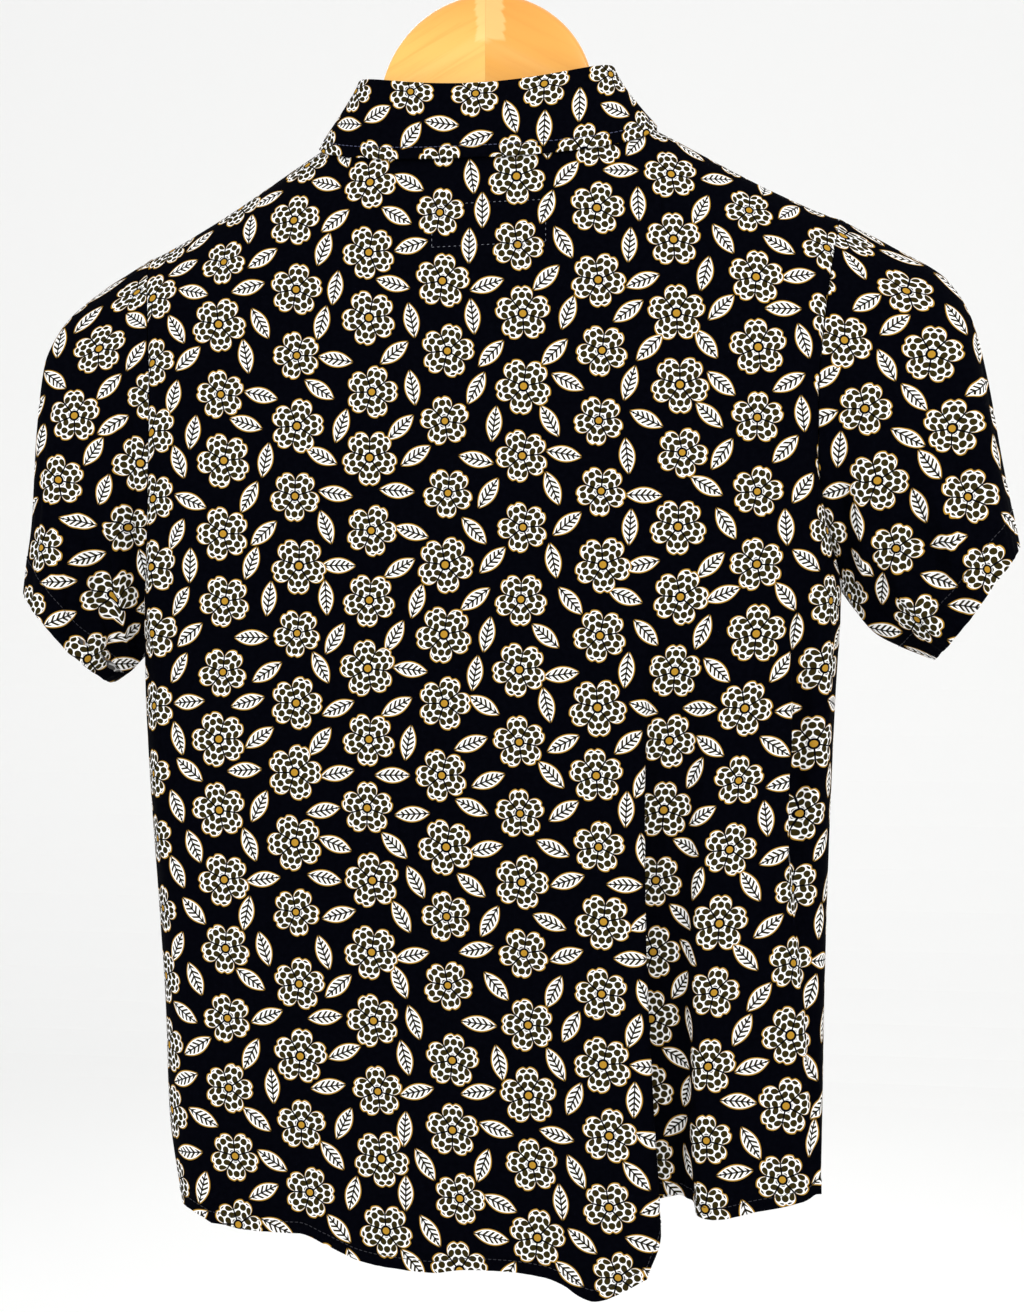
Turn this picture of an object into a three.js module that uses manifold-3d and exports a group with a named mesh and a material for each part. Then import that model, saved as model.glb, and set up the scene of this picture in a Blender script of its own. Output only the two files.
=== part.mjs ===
// A short-sleeved printed shirt hanging on a contoured wooden hanger.
// Millimetres, +Z up. The back of the shirt faces -Y, its buttoned front +Y.
// The origin is the top of the hook's inside, where a rail carries it.
import * as THREE from 'three';
import { mergeVertices } from 'three/addons/utils/BufferGeometryUtils.js';
import Module from 'manifold-3d';

const wasm = await Module();
wasm.setup();

// ---------------------------------------------------------------- driving sizes

const clothWall = 1.2;        // thickness of a cloth wall
const seamGap = 0.3;          // clear space between two sewn pieces
const curvedSeamGap = 0.5;    // the same where a seam curves, at the armholes and neck
const hangerLean = 0.02;      // rise of the hanger per millimetre towards +X
const neckHalfWidth = 82;     // neck point to centre, where collar meets shoulder
const backDepth = 34;         // how far the back hangs behind the seams
const frontDepth = 36;        // how far the front hangs before the seams
const shoulderRounding = 45;  // drop over which a shoulder opens to its depth
const buttonStand = 17;       // each front passes the centre by this much
const frontLap = 1.7;         // the under front lies this much inside the upper one
const bodyHalfWidth = 220;    // centre to side seam, about
const frontEdgeBand = 24;     // width beside a side seam that gets closer corners

const neck = { sideZ: -148, backDrop: 21, frontDrop: 67, frontCurve: 1.2 };

// Angles of the neck seam's corners, from the centre back to the shoulder and on to
// the centre front. They lie closest where the collar crosses the shoulder.
const neckBackAngles = [0, 20, 40, 60, 75, 84, 90];
const neckFrontAngles = [90, 92, 95, 99, 105, 120, 140, 160, 180];

// Height of the shoulder line, level, from the centre outwards.
const shoulderRows = [
  { x: 0, z: -106 }, { x: 40, z: -126 }, { x: 82, z: -148 }, { x: 108, z: -162 },
  { x: 138, z: -179.5 }, { x: 165, z: -195 }, { x: 185, z: -205.5 },
  { x: 212, z: -218 }, { x: 224, z: -222 },
];

// Side of the body from shoulder to hem: the armhole seam, then the side seam.
// x is the edge, inset the share of the depth that the edge is short of,
// bend the width over which the cloth rounds to it.
const leftRows = [
  { z: -226, x: -221, inset: 0.10, bend: 24 }, { z: -279, x: -213.5, inset: 0.10, bend: 24 },
  { z: -324, x: -211, inset: 0.12, bend: 24 }, { z: -375, x: -212, inset: 0.20, bend: 26 },
  { z: -425, x: -215.5, inset: 0.42, bend: 30 }, { z: -462, x: -220, inset: 0.74, bend: 33 },
  { z: -484, x: -222, inset: 1, bend: 34 }, { z: -547, x: -219.5, inset: 1, bend: 34 },
  { z: -645, x: -212.5, inset: 1, bend: 33 }, { z: -710, x: -208, inset: 1, bend: 32 },
  { z: -775, x: -205.5, inset: 1, bend: 31 }, { z: -840, x: -195.8, inset: 1, bend: 28 },
  { z: -880, x: -191, inset: 1, bend: 28 },
];
const rightRows = [
  { z: -217, x: 218, inset: 0.10, bend: 20 }, { z: -272, x: 208.5, inset: 0.10, bend: 20 },
  { z: -333, x: 203, inset: 0.14, bend: 20 }, { z: -367, x: 203, inset: 0.24, bend: 22 },
  { z: -394, x: 206.5, inset: 0.42, bend: 24 }, { z: -415, x: 211.5, inset: 0.64, bend: 26 },
  { z: -446, x: 219, inset: 1, bend: 28 }, { z: -513, x: 215.5, inset: 1, bend: 28 },
  { z: -606, x: 211.5, inset: 1, bend: 27 }, { z: -700, x: 208.5, inset: 1, bend: 24 },
  { z: -770, x: 206.8, inset: 1, bend: 24 }, { z: -812, x: 204.6, inset: 1, bend: 24 },
  { z: -880, x: 201, inset: 1, bend: 24 },
];

// The back's deep fold, by height. It starts at x, turns in by inTurn degrees over
// inRun, and comes out again by outTurn degrees, steepest late on the way. sideX,
// sideTurn and sideRun are the same for the crease beside the right side seam.
const foldRows = [
  { z: -226, x: 98, inTurn: 0, inRun: 12, outTurn: 4, sideX: 176, sideTurn: 0, sideRun: 14 },
  { z: -430, x: 98, inTurn: 2, inRun: 12, outTurn: 5, sideX: 178, sideTurn: 6, sideRun: 14 },
  { z: -480, x: 97, inTurn: 35, inRun: 14, outTurn: 20, sideX: 183, sideTurn: 55, sideRun: 14 },
  { z: -540, x: 95, inTurn: 80, inRun: 18, outTurn: 36, sideX: 183, sideTurn: 80, sideRun: 15 },
  { z: -640, x: 95, inTurn: 118, inRun: 26, outTurn: 60, sideX: 186, sideTurn: 84, sideRun: 15 },
  { z: -756, x: 98, inTurn: 134, inRun: 33, outTurn: 80, sideX: 192, sideTurn: 62, sideRun: 13 },
  { z: -820, x: 101, inTurn: 138, inRun: 36, outTurn: 86, sideX: 194, sideTurn: 44, sideRun: 12 },
  { z: -880, x: 102, inTurn: 138, inRun: 36, outTurn: 86, sideX: 194, sideTurn: 40, sideRun: 12 },
];

// Bottom edge of the back, by station: 0 to 1 the left side, 1 to 2 the flat back,
// 2 to 3 into the fold, 3 to 4 out of it, 4 to 5 the flat beyond, 5 to 7 the right side.
const backHemRows = [
  { at: 0, z: -832 }, { at: 0.6, z: -832 }, { at: 0.85, z: -834.8 }, { at: 1.02, z: -838.9 },
  { at: 1.07, z: -841.4 }, { at: 1.21, z: -842 }, { at: 1.26, z: -847.5 }, { at: 1.35, z: -857.9 },
  { at: 1.4, z: -860.3 }, { at: 1.51, z: -862.3 }, { at: 1.58, z: -859.6 }, { at: 1.67, z: -858.9 },
  { at: 1.76, z: -861.2 }, { at: 1.81, z: -865.4 }, { at: 1.85, z: -872 }, { at: 1.88, z: -874 },
  { at: 1.94, z: -868.3 }, { at: 2, z: -859 }, { at: 2.12, z: -847.5 }, { at: 2.3, z: -834 },
  { at: 2.5, z: -825 }, { at: 3, z: -816 }, { at: 3.5, z: -816.2 }, { at: 3.75, z: -821 },
  { at: 4, z: -821.6 }, { at: 4.5, z: -815.6 }, { at: 4.85, z: -811.2 }, { at: 5, z: -808.5 },
  { at: 6, z: -805 }, { at: 7, z: -808 },
];
const foldLate = 1.6;         // power that moves the fold's steepest place along its way out
const frontHem = { centre: -852, leftSeam: -832, rightSeam: -808, curve: 1.6 };

// Soft vertical troughs of the fronts: place, width and depth at the hem.
const frontTroughs = [
  { x: -128, width: 16, depth: 9 }, { x: -62, width: 22, depth: -6 },
  { x: 74, width: 20, depth: 8 }, { x: 142, width: 15, depth: -7 },
];
const troughTopZ = -430;      // height where those troughs begin
const troughFade = 350;       // drop over which they reach their depth

// Sleeve outlines, share of the length from armhole to hem: the upper line, then
// the underarm line. hemLift is how far the hem's back is drawn up the sleeve.
const leftSleeve = {
  upper: [
    { at: 0, x: -221, z: -226 }, { at: 0.16, x: -252, z: -244 }, { at: 0.3, x: -279.5, z: -268 },
    { at: 0.42, x: -289.5, z: -291 }, { at: 0.6, x: -292, z: -330 }, { at: 0.8, x: -294, z: -386 },
    { at: 1, x: -301.5, z: -443 },
  ],
  under: [{ at: 0, x: -222, z: -484 }, { at: 0.5, x: -235, z: -496 }, { at: 1, x: -248, z: -502.5 }],
  hemLift: 6.5,
};
const rightSleeve = {
  upper: [
    { at: 0, x: 218, z: -217 }, { at: 0.16, x: 250, z: -236 }, { at: 0.3, x: 282, z: -257 },
    { at: 0.42, x: 297, z: -283 }, { at: 0.6, x: 305.5, z: -319 }, { at: 0.8, x: 313, z: -366 },
    { at: 1, x: 323, z: -420.5 },
  ],
  under: [{ at: 0, x: 219, z: -446 }, { at: 0.5, x: 239, z: -472.5 }, { at: 1, x: 274, z: -488.5 }],
  hemLift: 4,
};
const sleeveHemDepth = { back: 46, front: 54 };
const sleeveOpening = 0.1;    // share of the sleeve's opening that waits for its hem half

const collar = {
  foldX: -0.75, foldHalfWidth: 80, foldBackY: -27, foldFrontY: 35, foldLean: 0.01,
  foldSideZ: -121.3, foldBackZ: -136.5, foldFrontZ: -190, rollRadius: 2.1, rollShare: 0.25,
  edgeX: 1, edgeHalfWidth: 107, edgeBackZ: -182, edgeClearance: 2.9, edgeBackCurve: 0.8,
  pointX: 50, pointZ: -262, pointSweep: 1.4, pointDrop: 0.85,
  spread: 0.32, startPull: 0.8, endPull: 0.9, restSlack: 0.1, endGap: 0.6, leafEndGap: 1.5,
};

const buttons = {
  count: 6, firstZ: -245, pitch: 93, radius: 5.7, thickness: 2.4, holeRadius: 0.8, holeOffset: 1.6,
};

const board = {
  domeRadius: 68, domeZ: -137, domeTurn: 82, footX: 84, footSlope: 0.28, armEnd: 212,
  bottomZ: -176, endHeight: 25, bottomCurve: 1.25, halfThickness: 7, tipHalfThickness: 5.5,
  endRound: 6, endLeast: 0.1, endTopDrop: 4, endBottomRise: 6, sweep: 9, clearance: 0.7,
};
const hook = {
  wireRadius: 1.9, insideRadius: 17, shankEnd: -88, boreClearance: 0.35, boreFloor: 1,
  boreLength: 40, stem: [[0, -88], [0, -74], [0, -58], [1.2, -45]], crookFrom: -62, crookTo: 205,
};

const palette = {
  cloth: 0x14140f, collarCloth: 0x1b1a14, button: 0x2a2320, wood: 0xf2b45e, steel: 0xc4c7ca,
};

// ------------------------------------------------------------------- small tools

const radians = (degrees) => degrees * Math.PI / 180;
const mix = (a, b, t) => a + (b - a) * t;
const clamp01 = (t) => Math.min(1, Math.max(0, t));
const smooth = (t) => { const s = clamp01(t); return s * s * (3 - 2 * s); };

// Value of one column of a table at a key, through a soft curve that never
// overshoots its rows.
function lookUp(rows, key, at, column) {
  const rising = rows[rows.length - 1][key] > rows[0][key] ? 1 : -1;
  const place = at * rising;
  let i = 0;
  while (i < rows.length - 2 && place > rows[i + 1][key] * rising) i += 1;
  const span = (j) => rows[j + 1][key] - rows[j][key];
  const slope = (j) => (rows[j + 1][column] - rows[j][column]) / span(j);
  const tangent = (j) => {
    if (j === 0) return slope(0);
    if (j === rows.length - 1) return slope(j - 1);
    const before = slope(j - 1);
    const after = slope(j);
    return before * after <= 0 ? 0 : 2 * before * after / (before + after);
  };
  const t = clamp01((at - rows[i][key]) / span(i));
  const h = span(i);
  return (2 * t ** 3 - 3 * t ** 2 + 1) * rows[i][column] + (t ** 3 - 2 * t ** 2 + t) * h * tangent(i)
    + (3 * t ** 2 - 2 * t ** 3) * rows[i + 1][column] + (t ** 3 - t ** 2) * h * tangent(i + 1);
}

function steps(from, to, count) {
  return Array.from({ length: count + 1 }, (_, i) => mix(from, to, i / count));
}

function joinSteps(...lists) {
  return lists.flatMap((list, i) => (i === 0 ? list : list.slice(1)));
}

// A closed wall: the given face outside, and its copy moved in along the normals.
// points[i][j] are the outer face's corners, and seen from outside i runs to the
// right where j runs down. around joins the last i to the first, limit keeps an
// inner corner on its own side of a seam, and facing, where given, is the outward
// direction for each i in place of the face's normal.
function wallGeometry(points, thickness, options = {}) {
  const { around = false, limit = (corner) => corner, facing = null } = options;
  const ni = points.length;
  const nj = points[0].length;
  const at = (i, j) => points[around ? (i + ni) % ni : Math.min(ni - 1, Math.max(0, i))][
    Math.min(nj - 1, Math.max(0, j))];
  const outer = points.flat();
  const inner = [];
  for (let i = 0; i < ni; i += 1) {
    for (let j = 0; j < nj; j += 1) {
      const along = at(i + 1, j).clone().sub(at(i - 1, j));
      const down = at(i, j + 1).clone().sub(at(i, j - 1));
      const normal = facing ? facing(i) : down.cross(along).normalize();
      inner.push(limit(at(i, j).clone().addScaledVector(normal, -thickness)));
    }
  }
  const all = [...outer, ...inner];
  const shift = outer.length;
  const id = (i, j) => (around ? i % ni : i) * nj + j;
  const faces = [];
  const quad = (a, b, c, d) => faces.push(a, b, c, a, c, d);
  const columns = around ? ni : ni - 1;
  for (let i = 0; i < columns; i += 1) {
    for (let j = 0; j < nj - 1; j += 1) {
      quad(id(i, j), id(i + 1, j), id(i + 1, j + 1), id(i, j + 1));
      quad(shift + id(i, j), shift + id(i, j + 1), shift + id(i + 1, j + 1), shift + id(i + 1, j));
    }
    quad(id(i, 0), shift + id(i, 0), shift + id(i + 1, 0), id(i + 1, 0));
    quad(id(i, nj - 1), id(i + 1, nj - 1), shift + id(i + 1, nj - 1), shift + id(i, nj - 1));
  }
  if (!around) {
    for (let j = 0; j < nj - 1; j += 1) {
      quad(id(0, j), id(0, j + 1), shift + id(0, j + 1), shift + id(0, j));
      quad(id(ni - 1, j), shift + id(ni - 1, j), shift + id(ni - 1, j + 1), id(ni - 1, j + 1));
    }
  }
  return outward(all, faces);
}

// A closed body through rings of equal count, capped at both ends.
function ringGeometry(rings) {
  const count = rings[0].length;
  const points = rings.flat();
  const faces = [];
  for (let r = 0; r < rings.length - 1; r += 1) {
    for (let k = 0; k < count; k += 1) {
      const next = (k + 1) % count;
      const a = r * count + k;
      const b = r * count + next;
      faces.push(a, b, b + count, a, b + count, a + count);
    }
  }
  const last = (rings.length - 1) * count;
  for (let k = 1; k < count - 1; k += 1) {
    faces.push(0, k + 1, k, last, last + k, last + k + 1);
  }
  return outward(points, faces);
}

// Makes the geometry, turned so that its faces point out.
function outward(points, faces) {
  let volume = 0;
  const cross = new THREE.Vector3();
  for (let f = 0; f < faces.length; f += 3) {
    cross.crossVectors(points[faces[f + 1]], points[faces[f + 2]]);
    volume += points[faces[f]].dot(cross);
  }
  const index = volume > 0 ? faces : faces.map((_, n) => faces[n - (n % 3) + [0, 2, 1][n % 3]]);
  const geometry = new THREE.BufferGeometry();
  geometry.setAttribute('position', new THREE.Float32BufferAttribute(
    points.flatMap((p) => [p.x, p.y, p.z]), 3));
  geometry.setIndex(index);
  return geometry;
}

function toSolid(geometry) {
  const bare = geometry.clone();
  bare.deleteAttribute('normal');
  bare.deleteAttribute('uv');
  const merged = mergeVertices(bare, 1e-4);
  return new wasm.Manifold(new wasm.Mesh({
    numProp: 3,
    vertProperties: new Float32Array(merged.attributes.position.array),
    triVerts: new Uint32Array(merged.index.array),
  }));
}

function toGeometry(solid) {
  const mesh = solid.getMesh();
  const geometry = new THREE.BufferGeometry();
  geometry.setAttribute('position', new THREE.Float32BufferAttribute(mesh.vertProperties, 3));
  geometry.setIndex(Array.from(mesh.triVerts));
  return geometry;
}

function piece(name, geometry, color, roughness = 0.85, metalness = 0) {
  const material = new THREE.MeshStandardMaterial({ color, roughness, metalness });
  const mesh = new THREE.Mesh(geometry, material);
  mesh.name = name;
  return mesh;
}

// ----------------------------------------------------------------- body surfaces

const shoulderZ = (x) => lookUp(shoulderRows, 'x', Math.abs(x), 'z') + hangerLean * x;
const shoulderY = (x) => board.sweep * (x / board.armEnd) ** 2;

const neckShare = (x) => Math.sqrt(Math.max(0, 1 - (x / neckHalfWidth) ** 2));
const neckBackZ = (x) => shoulderZ(neckHalfWidth * Math.sign(x || 1)) * Math.abs(x) / neckHalfWidth
  + neck.sideZ * (1 - Math.abs(x) / neckHalfWidth) - neck.backDrop * neckShare(x);
const neckFrontZ = (x) => neckBackZ(x)
  - (neck.frontDrop - neck.backDrop) * neckShare(x) ** neck.frontCurve;

const topZ = (x, neckZ) => (Math.abs(x) < neckHalfWidth ? neckZ(x) : shoulderZ(x));

// The plane between back and fronts, which follows the hanger's sweep at the shoulders.
function seamY(x, z) {
  const drop = Math.max(0, shoulderZ(x) - z);
  return shoulderY(x) * Math.exp(-drop / shoulderRounding);
}

// Depth at a place: the hanging depth, closing to nothing on the shoulder line. The
// cover lifts it clear of the cloth for what lies on top.
function drape(x, z, hangingY, cover = 0) {
  const drop = Math.max(0, shoulderZ(x) + cover - z);
  const open = Math.sqrt(1 - Math.exp(-drop / shoulderRounding));
  return (hangingY + cover * Math.sign(hangingY)) * open + seamY(x, z);
}

const behindSeam = (corner) => {
  corner.y = Math.min(corner.y, seamY(corner.x, corner.z) - seamGap / 2);
  return corner;
};
const beforeSeam = (corner) => {
  corner.y = Math.max(corner.y, seamY(corner.x, corner.z) + seamGap / 2);
  return corner;
};

// The back at one height, as a path across it: stations 0 to 7.
function backPath(station, z) {
  const left = (column) => lookUp(leftRows, 'z', z, column);
  const right = (column) => lookUp(rightRows, 'z', z, column);
  const fold = (column) => lookUp(foldRows, 'z', z, column);
  const flatY = -backDepth;
  const leftStart = left('x') + left('bend');
  if (station <= 1) {
    const turn = radians(90) * station;
    return {
      x: leftStart - left('bend') * Math.cos(turn),
      y: flatY + backDepth * left('inset') * (1 - Math.sin(turn)),
    };
  }
  const into = { run: fold('inRun'), turn: radians(fold('inTurn')) };
  const depth = lobe(1, into).y;
  const outTurn = -radians(fold('outTurn'));
  const way = { turn: outTurn, late: foldLate };
  const out = { ...way, run: -depth / lobe(1, { ...way, run: 1 }).y || fold('inRun') };
  const side = { run: fold('sideRun'), turn: radians(fold('sideTurn')) };
  const inEnd = { x: fold('x') + lobe(1, into).x, y: flatY + depth };
  const outEnd = { x: inEnd.x + lobe(1, out).x, y: inEnd.y + lobe(1, out).y };
  const sideEnd = { x: fold('sideX') + lobe(1, side).x, y: outEnd.y + lobe(1, side).y };
  if (station <= 2) return { x: mix(leftStart, fold('x'), station - 1), y: flatY };
  if (station <= 3) {
    const step = lobe(station - 2, into);
    return { x: fold('x') + step.x, y: flatY + step.y };
  }
  if (station <= 4) {
    const step = lobe(station - 3, out);
    return { x: inEnd.x + step.x, y: inEnd.y + step.y };
  }
  if (station <= 5) return { x: mix(outEnd.x, fold('sideX'), station - 4), y: outEnd.y };
  if (station <= 6) {
    const step = lobe(station - 5, side);
    return { x: fold('sideX') + step.x, y: outEnd.y + step.y };
  }
  const turn = radians(90) * (station - 6);
  const edgeY = flatY + backDepth * right('inset');
  return {
    x: sideEnd.x + (right('x') - sideEnd.x) * Math.sin(turn),
    y: edgeY + (sideEnd.y - edgeY) * Math.cos(turn),
  };
}

// A path that turns away and back over its run: the heading rises to the turn and
// falls to nothing again, as a raised cosine, with its top past the middle if late is over 1.
function lobe(share, { run, turn, late = 1 }) {
  const count = 24;
  let x = 0;
  let y = 0;
  for (let k = 0; k < count; k += 1) {
    const along = (share * (k + 0.5) / count) ** late;
    const heading = turn * Math.sin(Math.PI * along) ** 2;
    x += Math.cos(heading) * run * share / count;
    y += Math.sin(heading) * run * share / count;
  }
  return { x, y };
}

function backPoint(station, z) {
  const flat = backPath(station, z);
  return new THREE.Vector3(flat.x, drape(flat.x, z, flat.y) - seamGap / 2, z);
}

// The fronts: from a side seam to a little past the centre, by x share.
function frontPoint(x, z, lap) {
  const left = (column) => lookUp(leftRows, 'z', z, column);
  const right = (column) => lookUp(rightRows, 'z', z, column);
  const edge = x < 0 ? { x: -left('x'), inset: left('inset'), bend: left('bend') }
    : { x: right('x'), inset: right('inset'), bend: right('bend') };
  const past = clamp01((Math.abs(x) - (edge.x - edge.bend)) / edge.bend);
  const flatY = frontDepth - lap;
  const lowness = smooth((troughTopZ - z) / troughFade);
  const soft = frontTroughs.reduce((sum, trough) => (
    sum - trough.depth * Math.exp(-(((x - trough.x) / trough.width) ** 2))), 0);
  const hanging = flatY + soft * lowness * (1 - past)
    - flatY * edge.inset * (1 - Math.sqrt(1 - past ** 2));
  return new THREE.Vector3(x, drape(x, z, hanging) + seamGap / 2, z);
}

// Rows of a panel: through the armhole, closer at both its ends, then down to the hem.
const armholeAngles = joinSteps(steps(0, 15, 2), steps(15, 180, 11)).map(radians);
const armholeShares = armholeAngles.map((angle) => (1 - Math.cos(angle)) / 2);
const belowShares = steps(0, 1, 8).slice(1);
const pit = { left: leftRows[6].z, right: rightRows[6].z };

function panelHeights(top, hem, x) {
  const level = mix(pit.left, pit.right, smooth((x + bodyHalfWidth) / (2 * bodyHalfWidth)));
  return [...armholeShares.map((s) => mix(top, level, s)), ...belowShares.map((s) => mix(level, hem, s))];
}

function backPanel() {
  const topX = (station) => backPath(station, leftRows[0].z).x;
  const flatShare = (x) => 1 + (x - topX(1)) / (topX(2) - topX(1));
  const neckStation = (degrees) => flatShare(neckHalfWidth * Math.sin(radians(degrees)));
  const neckLeft = neckBackAngles.map((degrees) => neckStation(-degrees)).reverse();
  const neckRight = neckBackAngles.map(neckStation);
  const columns = joinSteps(
    steps(0, 1, 4), steps(1, neckLeft[0], 3), neckLeft, neckRight,
    [neckRight[neckRight.length - 1], 2], steps(2, 3, 6), steps(3, 4, 6), steps(4, 5, 2),
    steps(5, 6, 3), steps(6, 7, 3));
  const points = columns.map((station) => {
    const top = topZ(topX(station), neckBackZ);
    const hem = lookUp(backHemRows, 'at', station, 'z');
    return panelHeights(top, hem, topX(station)).map((z) => backPoint(station, z));
  });
  return wallGeometry(points, clothWall, { limit: behindSeam });
}

// One front, side -1 for the wearer's left, which laps over the other.
function frontPanel(side) {
  const edgeRows = side < 0 ? leftRows : rightRows;
  const topEdge = Math.abs(edgeRows[0].x);
  const lap = side < 0 ? 0 : frontLap;
  const seam = side < 0 ? frontHem.leftSeam : frontHem.rightSeam;
  const neckX = neckFrontAngles.map((degrees) => neckHalfWidth * Math.sin(radians(degrees)));
  const across = joinSteps(
    steps(topEdge, topEdge - frontEdgeBand, 3), steps(topEdge - frontEdgeBand, neckHalfWidth, 4),
    neckX, [0, -buttonStand]);
  const points = across.map((reach) => {
    const top = topZ(side * reach, neckFrontZ);
    const hem = mix(frontHem.centre, seam, Math.max(0, reach / topEdge) ** frontHem.curve);
    return panelHeights(top, hem, side * reach).map((z) => {
      const flare = Math.abs(lookUp(edgeRows, 'z', z, 'x')) / topEdge;
      return frontPoint(side * reach * (reach < 0 ? 1 : flare), z, lap);
    });
  });
  return wallGeometry(side < 0 ? points.reverse() : points, clothWall, { limit: beforeSeam });
}

// ----------------------------------------------------------------------- sleeves

function sleeve(side) {
  const shape = side < 0 ? leftSleeve : rightSleeve;
  const seamStation = side < 0 ? 0 : 7;
  const frontAngles = armholeAngles.slice(1, -1).reverse().map((angle) => 2 * Math.PI - angle);
  const along = steps(0, 1, 8);
  const start = { top: shape.upper[0], pit: shape.under[0] };
  const armhole = (down, back) => {
    const z = mix(start.top.z, start.pit.z, down);
    const edge = backPoint(seamStation, z);
    return back ? edge : frontPoint(edge.x, z, side < 0 ? 0 : frontLap);
  };
  const points = [...armholeAngles, ...frontAngles].map((angle) => {
    const down = (1 - Math.cos(angle)) / 2;
    const back = Math.sin(angle) >= 0;
    const edge = armhole(down, back);
    const straightX = mix(start.top.x, start.pit.x, down);
    const hemY = Math.sin(angle) * -(back ? sleeveHemDepth.back : sleeveHemDepth.front);
    const liftWay = Math.max(0, Math.sin(angle)) * shape.hemLift * Math.SQRT1_2;
    return along.map((s) => {
      const upper = { x: lookUp(shape.upper, 'at', s, 'x'), z: lookUp(shape.upper, 'at', s, 'z') };
      const under = { x: lookUp(shape.under, 'at', s, 'x'), z: lookUp(shape.under, 'at', s, 'z') };
      const lift = liftWay * s ** 3;
      return new THREE.Vector3(
        mix(upper.x, under.x, down) + (edge.x - straightX) * (1 - s) ** 2
          + side * (curvedSeamGap - lift),
        mix(edge.y, hemY, smooth(mix(s, s * s, sleeveOpening))),
        mix(upper.z, under.z, down) + lift);
    });
  });
  return wallGeometry(side < 0 ? points : points.reverse(), clothWall, { around: true });
}

// ------------------------------------------------------------------------ collar

// The neck seam, by angle from the centre back (0) to the centre front (pi).
function neckPoint(angle) {
  const x = neckHalfWidth * Math.sin(angle);
  if (Math.cos(angle) >= 0) {
    const z = neckBackZ(x);
    return new THREE.Vector3(x, drape(x, z, -backDepth), z);
  }
  const z = neckFrontZ(x);
  return new THREE.Vector3(x, drape(x, z, frontDepth), z);
}

function foldPoint(angle) {
  const c = Math.cos(angle);
  const rise = c >= 0 ? mix(collar.foldSideZ, collar.foldBackZ, c * c)
    : mix(collar.foldSideZ, collar.foldFrontZ, c * c);
  const x = collar.foldX * (c >= 0 ? 1 : 1 - c * c) + collar.foldHalfWidth * Math.sin(angle);
  const y = c >= 0 ? collar.foldBackY * c : -collar.foldFrontY * c;
  return new THREE.Vector3(x, y, rise + collar.foldLean * x);
}

function foldOutward(angle) {
  const depth = Math.cos(angle) >= 0 ? -collar.foldBackY : collar.foldFrontY;
  return new THREE.Vector3(
    Math.sin(angle) / collar.foldHalfWidth, -Math.cos(angle) / depth, 0).normalize();
}

// Outer edge of the fall: over the back, across the shoulders, to the front points.
function leafEdge(angle) {
  const side = Math.sign(angle) || 1;
  if (Math.cos(angle) >= 0) {
    const c = Math.cos(angle);
    const x = collar.edgeX * c + collar.edgeHalfWidth * Math.sin(angle);
    const sideZ = shoulderZ(side * collar.edgeHalfWidth) + collar.edgeClearance;
    const z = mix(sideZ, collar.edgeBackZ, c ** collar.edgeBackCurve);
    return new THREE.Vector3(x, drape(x, z, -backDepth, collar.edgeClearance), z);
  }
  const t = -Math.cos(angle);
  const x = side * mix(collar.edgeHalfWidth, collar.pointX, t ** collar.pointSweep);
  const sideZ = shoulderZ(side * collar.edgeHalfWidth) + collar.edgeClearance;
  const z = mix(sideZ, collar.pointZ, t ** collar.pointDrop);
  return new THREE.Vector3(x, drape(x, z, frontDepth, collar.edgeClearance), z);
}

// Angles round the collar, open by a gap of so many degrees at the centre front.
function collarAngles(gap) {
  const half = joinSteps(neckBackAngles, neckFrontAngles.slice(0, -1), [0, 180 - gap]);
  return joinSteps(half.map((degrees) => -degrees).reverse(), half).map(radians);
}

function collarStand() {
  const angles = collarAngles(collar.endGap);
  const points = angles.map((angle) => {
    const low = neckPoint(angle).add(new THREE.Vector3(0, 0, curvedSeamGap));
    const high = foldPoint(angle).add(new THREE.Vector3(0, 0, -curvedSeamGap));
    const half = foldOutward(angle).multiplyScalar(clothWall / 2);
    return steps(0, 1, 2).map((v) => high.clone().lerp(low, v).add(half));
  });
  return wallGeometry(points, clothWall, { facing: (i) => foldOutward(angles[i]) });
}

// The fall of the collar: a roll over the stand's top, then a fall to its edge.
function leafPoint(angle, v) {
  const fold = foldPoint(angle);
  const out = foldOutward(angle);
  const r = collar.rollRadius;
  if (v <= collar.rollShare) {
    const turn = Math.PI * (1 - v / collar.rollShare);
    return fold.addScaledVector(out, r * Math.cos(turn))
      .add(new THREE.Vector3(0, 0, r * Math.sin(turn)));
  }
  const t = (v - collar.rollShare) / (1 - collar.rollShare);
  const start = fold.addScaledVector(out, r);
  const end = leafEdge(angle);
  const length = start.distanceTo(end);
  const away = neckPoint(angle).sub(foldPoint(angle)).normalize()
    .addScaledVector(out, collar.spread).multiplyScalar(length * collar.startPull);
  const home = end.clone().sub(start).multiplyScalar(collar.endPull);
  const point = start.multiplyScalar(2 * t ** 3 - 3 * t ** 2 + 1)
    .addScaledVector(away, t ** 3 - 2 * t ** 2 + t)
    .addScaledVector(end, 3 * t ** 2 - 2 * t ** 3).addScaledVector(home, t ** 3 - t ** 2);
  const cover = (collar.edgeClearance - collar.restSlack) * smooth(t * 3);
  const ahead = Math.cos(angle);
  if (ahead > 0.02) point.y = Math.min(point.y, drape(point.x, point.z, -backDepth, cover));
  if (ahead < -0.02) point.y = Math.max(point.y, drape(point.x, point.z, frontDepth, cover));
  return point;
}

function collarLeaf() {
  const rows = joinSteps(steps(0, collar.rollShare, 3), steps(collar.rollShare, 1, 5));
  const points = collarAngles(collar.leafEndGap).map((angle) => (
    rows.map((v) => leafPoint(angle, v))));
  return wallGeometry(points, clothWall);
}

// ----------------------------------------------------------------------- buttons

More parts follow.
